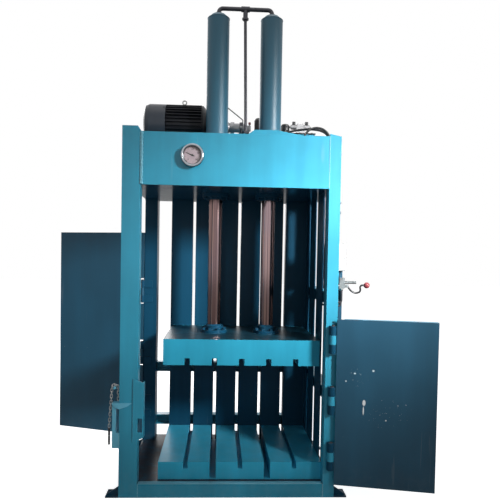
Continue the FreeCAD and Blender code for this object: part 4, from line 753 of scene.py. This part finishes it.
class BalerStudio(bpy.types.PropertyGroup):
    """Camera, floor and lamps."""

    camera_place: FloatVectorProperty(
        name="Camera place", description="Where the camera stands",
        default=(-0.0775, -3.893, 1.578), subtype="TRANSLATION", unit="LENGTH")
    camera_turn: FloatVectorProperty(
        name="Camera turn", description="Pitch, roll and yaw of the level camera",
        default=tuple(math.radians(a) for a in (-1.64, -1.03, -2.57)), subtype="EULER",
        unit="ROTATION")
    camera_angle: FloatProperty(
        name="View angle", description="Width of the camera's view",
        default=2 * math.atan(250 / 521.3), subtype="ANGLE")
    shift_x: FloatProperty(
        name="Shift across", description="Sideways shift of the lens", default=7.8 / 500)
    shift_y: FloatProperty(
        name="Shift up", description="Upward shift of the lens", default=24.1 / 500)
    floor_colour: FloatVectorProperty(
        name="Floor", description="Colour of the floor", default=(0.86, 0.86, 0.86), **COLOUR)
    key_power: FloatProperty(
        name="Key lamp", description="Watts of the lamp at the front right", default=28, min=0)
    key_spread: FloatProperty(
        name="Key spread", description="How wide the key lamp's light spreads",
        default=math.radians(33), subtype="ANGLE")
    fill_power: FloatProperty(
        name="Fill lamp", description="Watts of the wide front lamp", default=12, min=0)
    back_power: FloatProperty(
        name="Back lamp", description="Watts of the lamp behind", default=165, min=0)
    top_power: FloatProperty(
        name="Top lamp", description="Watts of the lamp overhead", default=24, min=0)
    sky: FloatProperty(
        name="Sky", description="Strength of the even light all round", default=0.20, min=0)


# ------------------------------------------------------------------ operators

class BALER_OT_paint(bpy.types.Operator):
    """Give every part of the frame its finish"""

    bl_idname = "baler.paint"
    bl_label = "Paint the frame"

    def execute(self, context):
        make_finishes()
        slots = {item["node"]: item["material_slot"] for item in frame["record"]["subparts"]}
        for name, item in NODES.items():
            item.data.materials.clear()
            item.data.materials.append(FINISH_OF_NODE.get(name) or FINISH_OF_SLOT[slots[name]])
        return {"FINISHED"}


class BALER_OT_hoses(bpy.types.Operator):
    """Lay the two hydraulic hoses with their swaged ends"""

    bl_idname = "baler.hoses"
    bl_label = "Lay the hoses"

    def execute(self, context):
        detail = context.scene.baler_detail
        for name, route, length, ends in HOSES:
            curve = bpy.data.curves.new(name, "CURVE")
            curve.dimensions = "3D"
            line = curve.splines.new("NURBS")
            line.points.add(len(route) - 1)
            for point, place in zip(line.points, route):
                point.co = (*place, 1)
            line.order_u = 3
            line.use_endpoint_u = True
            curve.resolution_u = 14
            curve.bevel_depth = detail.hose_radius
            curve.bevel_resolution = 5
            curve.use_fill_caps = True
            curve.materials.append(FINISH_OF_SLOT["rubber"])
            hose = bpy.data.objects.new(name, curve)
            context.scene.collection.objects.link(hose)
            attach(hose, "frame")
            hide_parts("hydraulic_hoses")
            collars = add_piece(
                name + "_collars",
                lambda shape: self.add_collars(shape, ends, detail.hose_radius), "frame", "steel")
        return {"FINISHED"}

    def add_collars(self, shape, ends, radius):
        """A crimped collar and a swivel nut at each end of a hose."""
        outline = [(radius * share, height) for share, height in COLLAR_OUTLINE]
        for place, direction in ends:
            turned_profile(shape, outline, facing(place, direction), 20)


class BALER_OT_chain(bpy.types.Operator):
    """Hang the retaining chain and its locking pin over the peg"""

    bl_idname = "baler.chain"
    bl_label = "Hang the chain"

    def execute(self, context):
        detail = context.scene.baler_detail
        step = detail.link_pitch - CHAIN_SLACK
        run = CHAIN_PEG.z - CHAIN_LUG_TOP - 2 * detail.link_wire - CHAIN_SLACK
        joints = [self.joint(step * index, run) for index in range(detail.link_count + 1)]
        chain = add_piece("chain_links", lambda shape: self.add_links(shape, joints, detail),
                          "frame", "steel")
        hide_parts("chain")
        pin = add_piece("locking_pin", lambda shape: self.add_pin(shape, joints[-1]), "frame",
                        "dark_steel")
        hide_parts("chain")
        return {"FINISHED"}

    def joint(self, travelled, inner_run):
        """Where the chain's joint lies after this much chain, from its lug upwards."""
        bend = CHAIN_BEND
        angle = min(max(travelled - inner_run, 0) / bend, math.pi - CHAIN_LEAN)
        straight = travelled - inner_run - bend * angle
        hanging = Vector((-math.sin(CHAIN_LEAN), 0, -math.cos(CHAIN_LEAN)))
        run = Vector((0, 0, straight)) if angle == 0 else hanging * straight
        return CHAIN_PEG + Vector((bend * math.cos(angle), 0, bend * math.sin(angle))) + run

    def add_links(self, shape, joints, detail):
        """Oval links, each a quarter turn from the last and a little askew."""
        wire = detail.link_wire
        side = detail.link_width / 2 - wire
        straight = detail.link_pitch / 2 + wire - side
        corners = 16
        swing = 7
        for index, (start, end) in enumerate(zip(joints, joints[1:])):
            askew = math.radians(90 * (index % 2) + swing * math.sin(index))
            turn = Vector((0, 0, 1)).rotation_difference(end - start).to_matrix().to_4x4()
            turn = turn @ Matrix.Rotation(askew, 4, "Z")
            matrix = Matrix.Translation((start + end) / 2) @ turn
            oval = []
            for k in range(corners):
                angle = 2 * math.pi * (k + 0.5) / corners
                rise = straight if math.sin(angle) > 0 else -straight
                oval.append(matrix @ Vector((side * math.cos(angle), 0,
                                             side * math.sin(angle) + rise)))
            sweep(shape, oval, lambda k: wire, 7, closed=True)

    def add_pin(self, shape, top):
        """A round-nosed pin with a worn groove and a head, hung from the last link."""
        radius = 0.007
        length = 0.105
        head = 0.004
        foot = top.z - (length + radius + head) - CHAIN_SLACK
        turned_profile(shape, [
            (0, 0), (radius * 0.45, 0), (radius, radius), (radius, length * 0.55),
            (radius * 0.84, length * 0.56), (radius * 0.84, length * 0.6), (radius, length * 0.61),
            (radius, length), (radius * 1.3, length), (radius * 1.3, length + radius * 0.7),
            (radius * 0.9, length + radius), (0, length + radius),
        ], Matrix.Translation((top.x, top.y, foot)), 20)


class BALER_OT_welds(bpy.types.Operator):
    """Run the weld beads that join the frame, the chamber, the cylinders and the doors"""

    bl_idname = "baler.welds"
    bl_label = "Run the welds"

    def execute(self, context):
        for name, build, body, slot, finish in (
                # The frame welds and the deck nosing take the weld enamel, with its painted
                # highlights.
                ("frame_welds", self.add_frame_welds, "frame", "painted_blue", "painted_weld"),
                # The chamber welds, the seal and the ram welds take the chamber enamel, with its
                # painted shade.
                ("chamber_welds", self.add_chamber_welds, "frame", "dark_blue", "rear_panels"),
                ("cylinder_welds", self.add_cylinder_welds, "frame", "painted_blue",
                 "left_barrel"),
                ("hinge_seal", self.add_seal, "frame", "dark_blue", "rear_panels"),
                ("ram_welds", self.add_ram_welds, "ram", "dark_blue", "rod_flanges")):
            add_piece(name, build, body, slot, FINISH_OF_NODE[finish])
        for door, settings in DOORS.items():
            slot = settings[-1]
            add_piece(door + "_stitches",
                      lambda shape: self.add_door_welds(shape, *settings[:-1]), door, slot)
        return {"FINISHED"}

    def add_frame_welds(self, shape):
        """Beads on the columns, rails, latch and power unit, and the nosing under the deck."""
        beam_low, beam_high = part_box("beam_front_plate")
        rear_low, rear_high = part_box("rear_columns")
        latch_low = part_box("latch_bracket")[0]
        keeper_low, keeper_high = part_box("latch_keeper")
        rail_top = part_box("deck_plate")[1].z
        front = beam_low.y
        front_stub = (-0.412, -0.35)
        rail_ends = (-0.414, 0.360)
        nosing = 0.043
        inner_sides = (rear_low.x + REAR_COLUMN_WIDTH, beam_high.x)
        for x, size in ((beam_low.x + 0.004, 2.5), (beam_high.x, 0.6)):
            y = front + 0.001 * size
            weld_bead(shape, upright(x, y, beam_low.z + FOOT_GAP, beam_high.z), size=size)
            weld_bead(shape, upright(x, y, FOOT_GAP, rail_top), size=0.7)
        for x in inner_sides:
            weld_bead(shape, upright(x, rear_high.y + 0.0005, FOOT_GAP, rail_top))
        for x in (rear_low.x, rear_high.x):
            weld_bead(shape, [(x, rear_low.y + 0.008, beam_low.z),
                              (x, rear_high.y - 0.004, beam_low.z)])
        for start, end in ((rear_low.x, inner_sides[0]), (inner_sides[1], rear_high.x)):
            weld_bead(shape, [(start, rear_high.y, beam_low.z), (end, rear_high.y, beam_low.z)])
        for low_z, high_z in RAIL_HEIGHTS[1:]:
            for z in (low_z, high_z):
                weld_bead(shape, [(RIGHT_SIDE, y, z) for y in front_stub], size=0.7)
            for y in rail_ends:
                weld_bead(shape, upright(RIGHT_SIDE, y, low_z, high_z))
        for low_z, high_z in RAIL_HEIGHTS[:2]:
            for x in inner_sides:
                weld_bead(shape, upright(x, rear_high.y, low_z, high_z))
        weld_bead(shape, upright(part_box("front_left_column")[0].x, latch_low.y + 0.008,
                                 latch_low.z, latch_low.z + 0.1), size=0.7)
        weld_bead(shape, upright(keeper_low.x, front, keeper_low.z + 0.003,
                                 keeper_high.z - 0.003), size=0.6)
        # The nosing on the deck's edge wears the weld enamel: a painted highlight on its lit top.
        block(shape, (beam_low.x + 0.003, front, rail_top - 0.001),
              (beam_high.x - 0.003, front + nosing, rail_top + 0.0025))
        low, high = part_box("motor_rails")
        for y in (low.y, high.y):
            weld_bead(shape, [(low.x, y, low.z), (high.x, y, low.z)], size=0.8)
        low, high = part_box("oil_tank")
        weld_bead(shape, [(low.x, low.y, low.z), (high.x, low.y, low.z), (high.x, high.y, low.z),
                          (low.x, high.y, low.z)], closed=True, size=0.7)

    def add_chamber_welds(self, shape):
        """A bead along the top of each wall channel and one before the floor block."""
        low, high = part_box("rear_panels")
        block_low, block_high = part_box("floor_block")
        channels = 6
        pitch = (high.x - low.x) / channels
        half_slot = 0.0115
        inset = 0.004
        top = high.z - 0.002
        for index in range(channels):
            left = low.x + pitch * index + (half_slot if index else 0) + inset
            right = low.x + pitch * (index + 1) - (half_slot if index < channels - 1 else 0) - inset
            weld_bead(shape, [(left, low.y, top), (right, low.y, top)], size=0.8)
        weld_bead(shape, [(block_low.x, block_low.y, block_low.z + 0.001),
                          (block_high.x, block_low.y, block_low.z + 0.001)], size=0.8)

    def add_cylinder_welds(self, shape):
        """Beads round the mounting flanges, and under the cap of each barrel."""
        beam_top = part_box("beam_front_plate")[1].z
        flange_radius = 0.125
        flange_height = 0.028
        cap_height = 0.029
        for barrel in ("left_barrel", "right_barrel"):
            low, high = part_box(barrel)
            middle = (low + high) / 2
            radius = (high.x - low.x) / 2
            for level, ring in ((beam_top, flange_radius), (beam_top + flange_height, radius),
                                (high.z - cap_height, radius - 0.001)):
                weld_bead(shape, ring_points((middle.x, middle.y, level), ring), closed=True,
                          size=0.7)

    def add_seal(self, shape):
        """A flat bar on the rear column that closes the view past the side door's hinges."""
        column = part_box("rear_columns")[0].x
        low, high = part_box("side_door_skin")
        thick, front, rear = 0.0062, 0.3668, 0.3868
        block(shape, (column - thick, front, low.z), (column + 0.0005, rear, high.z))

    def add_ram_welds(self, shape):
        """Beads round the foot flange of each rod and round the collar on it."""
        flange_radius, flange_top, collar_radius = 0.096, 0.022, 0.064
        for rod in ("left_rod", "right_rod"):
            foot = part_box(rod)[0].z
            middle = centre(rod)
            for level, radius, size in ((foot, flange_radius, 0.7),
                                        (foot + flange_top, collar_radius, 0.5)):
                weld_bead(shape, ring_points((middle.x, middle.y, level), radius), closed=True,
                          size=size)

    def add_door_welds(self, shape, angle, axis, bottom, height, reach, side, inset):
        """Short stitch welds where the door's bars cross, inside its outer edges."""
        turn = Matrix.Translation((*axis, 0)) @ Matrix.Rotation(angle, 4, "Z")
        stitch = 0.05
        for bar in range(4):
            z = bottom + (height - DOOR_BAR) * bar / 3
            levels = [z + DOOR_BAR] * (bar < 3) + [z] * (bar > 0)
            for level in levels:
                for start in (inset + 0.045, reach - 0.105):
                    weld_bead(shape, [turn @ Vector((start + k, side * 0.003, level))
                                      for k in (0, stitch)], size=0.7)


class BALER_OT_gauge(bpy.types.Operator):
    """Print the pressure gauge's scale and numbers and fit its bezel"""

    bl_idname = "baler.gauge"
    bl_label = "Finish the gauge"

    first_mark = math.radians(225)
    sweep_angle = math.radians(270)

    def execute(self, context):
        marks = context.scene.baler_detail.dial_marks
        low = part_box("gauge_dial")[0]
        middle = centre("gauge_dial")
        face = Vector((middle.x, low.y, middle.z))
        rim = facing((face.x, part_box("gauge_case")[0].y, face.z), (0, -1, 0))
        add_piece("dial_scale", lambda shape: self.add_scale(shape, face, marks), "frame",
                  "black_plastic", FINISH_OF_NODE["print"], smooth=False)
        add_piece("gauge_bezel", lambda shape: self.add_bezel(shape, rim), "frame", "steel",
                  FINISH_OF_NODE["gauge_case"])
        add_piece("gauge_gasket", lambda shape: self.add_gasket(shape, rim), "frame", "rubber")
        return {"FINISHED"}

    def add_scale(self, shape, face, marks):
        """Marks on three quarters of a circle, a fine rim line and a number at each tenth mark."""
        thick = 0.0003
        mark_end = 0.0555
        rim_radius = 0.0575
        for index in range(marks + 1):
            angle = self.first_mark - self.sweep_angle * index / marks
            major = index % 5 == 0
            inner, half = (0.0450, 0.0011) if major else (0.0500, 0.0006)
            turn = Matrix.Translation(face) @ Matrix.Rotation(-angle, 4, "Y")
            outline = ((inner, -half), (mark_end, -half), (mark_end, half), (inner, half))
            verts = [shape.verts.new(turn @ Vector((x, -thick * depth, z))) for depth in (0, 1)
                     for x, z in outline]
            shape.faces.new(verts[4:])
            for k in range(4):
                after = (k + 1) % 4
                shape.faces.new((verts[k], verts[after], verts[4 + after], verts[4 + k]))
            if index % 10 == 0:
                self.add_number(shape, face, str(index), angle)
        angles = [self.first_mark - self.sweep_angle * k / 90 for k in range(91)]
        sweep(shape, [face + Vector((rim_radius * math.cos(a), -0.0001, rim_radius * math.sin(a)))
                      for a in angles], lambda k: 0.0004, 4)

    def add_number(self, shape, face, text, angle):
        """One raised number of the scale, upright on the dial."""
        radius = 0.0375
        curve = bpy.data.curves.new("number", "FONT")
        curve.body = text
        curve.align_x = "CENTER"
        curve.align_y = "CENTER"
        curve.size = 0.015
        curve.extrude = 0.0001
        curve.resolution_u = 3
        temporary = bpy.data.objects.new("number", curve)
        mesh = bpy.data.meshes.new_from_object(temporary)
        spot = face + Vector((radius * math.cos(angle), -0.0002, radius * math.sin(angle)))
        mesh.transform(Matrix.Translation(spot) @ Matrix.Rotation(math.pi / 2, 4, "X"))
        shape.from_mesh(mesh)
        bpy.data.objects.remove(temporary)
        bpy.data.curves.remove(curve)
        bpy.data.meshes.remove(mesh)

    def add_bezel(self, shape, rim):
        """A polished snap ring round the glass with its knurled edge."""
        turned_profile(shape, [
            (0.0580, -0.0120), (0.0580, -0.0040), (0.0605, -0.0012), (0.0650, 0.0004),
            (0.0705, -0.0006), (0.0740, -0.0040), (0.0746, -0.0060), (0.0740, -0.0080),
            (0.0746, -0.0100), (0.0740, -0.0120), (0.0743, -0.0180), (0.0738, -0.0195),
        ], rim, 64)

    def add_gasket(self, shape, rim):
        """The thin rubber ring between the bezel and the glass."""
        turned_profile(shape, [(0.0562, -0.0120), (0.0562, -0.0046), (0.0568, -0.0038),
                               (0.0584, -0.0038)], rim, 64)


class BALER_OT_power_unit(bpy.types.Operator):
    """Add the bolts, plugs and trim of the motor, pump and tank"""

    bl_idname = "baler.power_unit"
    bl_label = "Trim the power unit"

    def execute(self, context):
        add_piece("motor_bolts", self.add_motor_bolts, "frame", "steel",
                  FINISH_OF_SLOT["dark_steel"])
        add_piece("motor_trim", self.add_motor_trim, "frame", "grey_paint")
        add_piece("tank_bolts", self.add_tank_bolts, "frame", "steel")
        add_piece("tank_trim", self.add_tank_trim, "frame", "black_plastic")
        add_piece("relief_cap", self.add_relief_cap, "frame", "red_plastic")
        return {"FINISHED"}

    def add_motor_bolts(self, shape):
        """Screws round the fan cowl, two circles of bolts on the bell housing and foot bolts."""
        size = bpy.context.scene.baler_detail.bolt_size
        cowl_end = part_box("fan_cowl")[1].x
        shield_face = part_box("end_shield")[1].x
        rail_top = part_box("motor_rails")[1].z
        axis = centre("fan_cowl")
        cowl_radius, outer_circle, inner_circle = 0.1598, 0.139, 0.1195
        for degrees in (45, 135, 225, 315):
            out = round_x(degrees)
            hex_head(shape, along_x(cowl_end - 0.012, axis) + out * cowl_radius, out, size * 0.8,
                     0.005)
        for degrees in range(30, 390, 60):
            out = round_x(degrees)
            hex_head(shape, along_x(shield_face - 0.0195, axis) + out * outer_circle, (1, 0, 0),
                     size * 1.2, 0.009)
            hex_head(shape, along_x(shield_face + 0.0148, axis) + out * inner_circle, (1, 0, 0),
                     size, 0.008)
        foot_reach, foot_height = 0.166, 0.044
        for x in (-0.456, -0.272):
            for side in (-1, 1):
                hex_head(shape, (x, axis.y + side * foot_reach, rail_top + foot_height), (0, 0, 1),
                         size * 1.5, 0.012)

    def add_motor_trim(self, shape):
        """The terminal box's lid, screws and gland, and three lugs on the end shield."""
        low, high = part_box("terminal_box")
        lip, lid = 0.003, 0.006
        block(shape, (low.x - lip, high.y, low.z - lip), (high.x + lip, high.y + lid, high.z + lip),
              0.002)
        inset = 0.009
        for x in (low.x + inset, high.x - inset):
            for z in (low.z + inset, high.z - inset):
                hex_head(shape, (x, high.y + lid, z), (0, 1, 0), 0.008, 0.004)
        middle = (low + high) / 2
        turned_profile(shape, [(0, 0), (0.014, 0), (0.014, 0.012), (0.010, 0.014), (0.010, 0.022),
                               (0.0085, 0.024), (0, 0.024)],
                       facing((middle.x - 0.02, middle.y + 0.01, low.z), (0, 0, -1)), 6)
        lug = Vector((0.006, 0.007, 0.007))
        lug_circle = 0.154
        axis = centre("end_shield")
        for degrees in (90, 210, 330):
            spot = along_x(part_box("end_shield")[0].x + lug.x, axis) + round_x(degrees) * lug_circle
            block(shape, spot - lug, spot + lug, 0.002)

    def add_tank_bolts(self, shape):
        """Bolts round the tank's lid, on its valve and its level glass, and its drain plug."""
        size = bpy.context.scene.baler_detail.bolt_size
        low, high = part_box("oil_tank")
        top = high.z + TANK_LID
        edge, inset = 0.002, 0.02
        for k in range(5):
            x = low.x + inset + (high.x - low.x - 2 * inset) * k / 4
            for y in (low.y + edge, high.y - edge):
                hex_head(shape, (x, y, top), (0, 0, 1), size, 0.008)
        for k in (1, 2):
            for x in (low.x + edge, high.x - edge):
                hex_head(shape, (x, low.y + (high.y - low.y) * k / 3, top), (0, 0, 1), size, 0.008)
        valve_low, valve_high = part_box("directional_valve")
        valve = centre("directional_valve")
        for x in (valve.x - 0.018, valve.x + 0.018):
            for side in (-0.012, 0.012):
                hex_head(shape, (x, valve.y + side, valve_high.z), (0, 0, 1), 0.008, 0.005)
        for x, side in ((valve_low.x, -1), (valve_high.x, 1)):
            turned_profile(shape, [(0, 0), (0.009, 0), (0.009, 0.008), (0.006, 0.010),
                                   (0.006, 0.014), (0, 0.014)],
                           facing((x, valve.y, valve_high.z - 0.0207), (side, 0, 0)), 6)
        hex_head(shape, (high.x, high.y - 0.05, low.z + 0.03), (1, 0, 0), 0.022, 0.012)
        for y in (low.y + 0.09, low.y + 0.21):
            hex_head(shape, (high.x + LEVEL_GLASS - 0.0005, y, low.z + 0.05), (1, 0, 0), 0.012,
                     0.005)

    def add_tank_trim(self, shape):
        """The valve's two coils with their plugs, the level glass and the filler cap's grip."""
        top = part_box("directional_valve")[1].z
        valve = centre("directional_valve")
        for x in (valve.x - 0.050, valve.x + 0.050):
            block(shape, (x - 0.0125, valve.y - 0.0135, top - 0.004),
                  (x + 0.0125, valve.y + 0.0135, top + 0.020), 0.002)
            turned_profile(shape, [(0, 0), (0.007, 0), (0.007, 0.009), (0.005, 0.011),
                                   (0.005, 0.016), (0, 0.016)],
                           facing((x, valve.y + 0.0135, top + 0.010), (0, 1, 0)), 14)
        low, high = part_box("oil_tank")
        block(shape, (high.x, low.y + 0.075, low.z + 0.030),
              (high.x + LEVEL_GLASS, low.y + 0.225, low.z + 0.070), 0.003)
        filler = Vector((low.x + (high.x - low.x) * 0.54, low.y + (high.y - low.y) * 0.28,
                         high.z + TANK_LID))
        ribs, cap_radius = 18, 0.0318
        for k in range(ribs):
            angle = 2 * math.pi * k / ribs
            out = filler + Vector((math.cos(angle), math.sin(angle), 0)) * cap_radius
            sweep(shape, [out + Vector((0, 0, z)) for z in (0.038, 0.072)], lambda k: 0.0022, 6)

    def add_relief_cap(self, shape):
        """The cap over the pump's relief valve."""
        spot = Vector((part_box("gear_pump")[1].x - 0.009, centre("gear_pump").y,
                       RELIEF_VALVE_TOP))
        turned_profile(shape, [
            (0.0046, 0), (0.0092, 0.0), (0.0104, 0.0015), (0.0104, 0.0145), (0.0088, 0.0175),
            (0.0035, 0.0188), (0, 0.0188),
        ], Matrix.Translation(spot), 18)


class BALER_OT_pipework(bpy.types.Operator):
    """Fit the pipes' compression nuts and the clamps that hold them to the frame"""

    bl_idname = "baler.pipework"
    bl_label = "Fit nuts and clamps"

    def execute(self, context):
        add_piece("pipe_nuts", self.add_nuts, "frame", "steel")
        add_piece("pipe_clamps", self.add_clamps, "frame", "steel")
        add_piece("column_bolts", self.add_column_bolts, "frame", "steel")
        return {"FINISHED"}

    def add_nuts(self, shape):
        """A hexagon nut with its bevelled collar where each pipe ends."""
        size = bpy.context.scene.baler_detail.nut_size
        for spot, direction in PIPE_ENDS:
            matrix = facing(spot, direction)
            turned_profile(shape, [(0.008, 0.0002), (size * 0.57, 0.0002), (size * 0.577, 0.002),
                                   (size * 0.577, 0.012), (size * 0.5, 0.0145)], matrix, 6)
            turned_profile(shape, [(size * 0.47, 0.0125), (size * 0.43, 0.017), (0.0083, 0.018)],
                           matrix, 18)

    def add_clamps(self, shape):
        """A moulded block round each pair of pipes, with its bolt."""
        inner, outer = CLAMP_FACES
        lip, half_height = 0.012, 0.013
        for y_low, y_high, z in PIPE_CLAMPS:
            block(shape, (inner, y_low - lip, z - half_height),
                  (outer, y_high + lip, z + half_height), 0.003)
            hex_head(shape, (outer, (y_low + y_high) / 2, z), (1, 0, 0), 0.010, 0.006)

    def add_column_bolts(self, shape):
        """Two bolts on the outside of the right column."""
        size = bpy.context.scene.baler_detail.bolt_size
        column_middle = -0.462
        for z in (1.962, 1.896):
            hex_head(shape, (RIGHT_SIDE, column_middle, z), (1, 0, 0), size * 1.3, 0.011)


class BALER_OT_cabinet(bpy.types.Operator):
    """Close the control cabinet with its door, hinges and lock"""

    bl_idname = "baler.cabinet"
    bl_label = "Close the cabinet"

    def execute(self, context):
        add_piece("cabinet_door", self.add_door, "frame", "pale_paint")
        add_piece("cabinet_fittings", self.add_fittings, "frame", "steel")
        return {"FINISHED"}

    def add_door(self, shape):
        """A door plate with a shallow raised panel."""
        low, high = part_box("control_cabinet")
        for across, up, front, back, bevel in ((0.003, 0.003, 0.006, 0.0008, 0.002),
                                               (0.016, 0.020, 0.0075, 0.0055, 0.001)):
            block(shape, (low.x + across, low.y - front, low.z + up),
                  (high.x - across, low.y - back, high.z - up), bevel)

    def add_fittings(self, shape):
        """Two hinge barrels, the round lock and two cable glands underneath."""
        low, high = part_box("control_cabinet")
        middle = (low + high) / 2
        for z in (low.z + 0.035, high.z - 0.035):
            turned_profile(shape, [(0, 0), (0.0042, 0), (0.0042, 0.026), (0, 0.026)],
                           Matrix.Translation((low.x - 0.001, low.y - 0.004, z - 0.013)), 14)
        turned_profile(shape, [(0, 0), (0.010, 0), (0.010, 0.004), (0.0085, 0.006), (0, 0.006)],
                       facing((high.x - 0.009, low.y - 0.006, middle.z), (0, -1, 0)), 22)
        for x in (low.x + 0.035, high.x - 0.030):
            turned_profile(shape, [(0, 0), (0.011, 0), (0.011, 0.010), (0.0085, 0.013),
                                   (0.0085, 0.018), (0, 0.018)],
                           facing((x, middle.y + 0.035, low.z), (0, 0, -1)), 6)


class BALER_OT_studio(bpy.types.Operator):
    """Set up the floor, the white surround, the lamps and the camera"""

    bl_idname = "baler.studio"
    bl_label = "Set up the studio"

    def execute(self, context):
        studio = context.scene.baler_studio
        self.add_floor(context, studio)
        self.add_surround(context, studio)
        self.add_lamps(context, studio)
        self.add_camera(context, studio)
        context.scene.view_settings.view_transform = "Standard"
        return {"FINISHED"}

    def add_floor(self, context, studio):
        """A pale floor that looks as white as the surround and still keeps the shadow."""
        mesh = mesh_from(lambda shape: bmesh.ops.create_grid(shape, x_segments=1, y_segments=1,
                                                             size=30), "floor")
        floor = bpy.data.objects.new("floor", mesh)
        context.scene.collection.objects.link(floor)
        f = Finish("floor_paint")
        seen = f.node("ShaderNodeLightPath")["Is Camera Ray"]
        speckle = f.noise(3, 3)
        tone = f.mix(speckle, studio.floor_colour, tuple(c * 0.98 for c in studio.floor_colour))
        glow = f.mix(seen, (0, 0, 0), (0.86, 0.86, 0.86))
        mesh.materials.append(f.surface(Base_Color=tone, Roughness=0.9, Emission_Color=glow,
                                        Emission_Strength=1.0))

    def add_surround(self, context, studio):
        """Full white to the eye, in mirrors and through glass, and dimmer as light."""
        world = bpy.data.worlds.new("surround")
        context.scene.world = world
        f = Finish("surround", world)
        path = f.node("ShaderNodeLightPath")
        seen = path["Is Camera Ray"].either(path["Is Transmission Ray"])
        seen = seen.either(path["Is Glossy Ray"])
        strength = f.node("ShaderNodeMapRange", None,
                          {"Value": seen, "To Min": studio.sky, "To Max": 1})
        background = f.node("ShaderNodeBackground", None,
                            {"Color": (1, 1, 1, 1), "Strength": strength})
        f.node("ShaderNodeOutputWorld", None, {"Surface": background})

    def add_lamps(self, context, studio):
        for name, place, target, size, narrow in LAMPS:
            data = bpy.data.lights.new(name + "_lamp", "AREA")
            data.shape = "RECTANGLE"
            data.size, data.size_y = size
            data.energy = getattr(studio, name + "_power")
            data.spread = studio.key_spread if narrow else math.pi
            lamp = bpy.data.objects.new(name + "_lamp", data)
            context.scene.collection.objects.link(lamp)
            lamp.location = place
            aim = Vector(target) - Vector(place)
            lamp.rotation_euler = aim.to_track_quat("-Z", "Y").to_euler()

    def add_camera(self, context, studio):
        """A level camera, then pitched, rolled and turned, with its lens shifted."""
        pitch, roll, yaw = studio.camera_turn
        turn = (Matrix.Rotation(yaw, 3, "Z") @ Matrix.Rotation(pitch, 3, "X")
                @ Matrix.Rotation(roll, 3, "Y") @ Matrix.Rotation(math.pi / 2, 3, "X"))
        data = bpy.data.cameras.new("camera")
        data.sensor_fit = "HORIZONTAL"
        data.angle = studio.camera_angle
        data.shift_x = studio.shift_x
        data.shift_y = studio.shift_y
        camera = bpy.data.objects.new("camera", data)
        context.scene.collection.objects.link(camera)
        camera.matrix_world = Matrix.Translation(Vector(studio.camera_place)) @ turn.to_4x4()
        context.scene.camera = camera


class BALER_PT_sidebar(bpy.types.Panel):
    """Lists the baler's steps and settings"""

    bl_idname = "BALER_PT_sidebar"
    bl_label = "Recycling Baler"
    bl_space_type = "VIEW_3D"
    bl_region_type = "UI"
    bl_category = "Baler"

    def draw(self, context):
        for settings in ("baler_finish", "baler_detail", "baler_studio"):
            group = getattr(context.scene, settings)
            for key in group.__annotations__:
                self.layout.prop(group, key)
        for step in STEPS:
            self.layout.operator(step.bl_idname)


STEPS = (BALER_OT_studio, BALER_OT_paint, BALER_OT_hoses, BALER_OT_chain, BALER_OT_welds,
         BALER_OT_gauge, BALER_OT_power_unit, BALER_OT_pipework, BALER_OT_cabinet)
GROUPS = {"baler_finish": BalerFinish, "baler_detail": BalerDetail, "baler_studio": BalerStudio}


def register():
    for item in (*GROUPS.values(), *STEPS, BALER_PT_sidebar):
        bpy.utils.register_class(item)
    for key, group in GROUPS.items():
        setattr(bpy.types.Scene, key, PointerProperty(type=group))


def unregister():
    for key in GROUPS:
        delattr(bpy.types.Scene, key)
    for item in (BALER_PT_sidebar, *reversed(STEPS), *GROUPS.values()):
        bpy.utils.unregister_class(item)


def main():
    register()
    for step in STEPS:
        group, name = step.bl_idname.split(".")
        getattr(getattr(bpy.ops, group), name)()


if __name__ == "__main__":
    main()
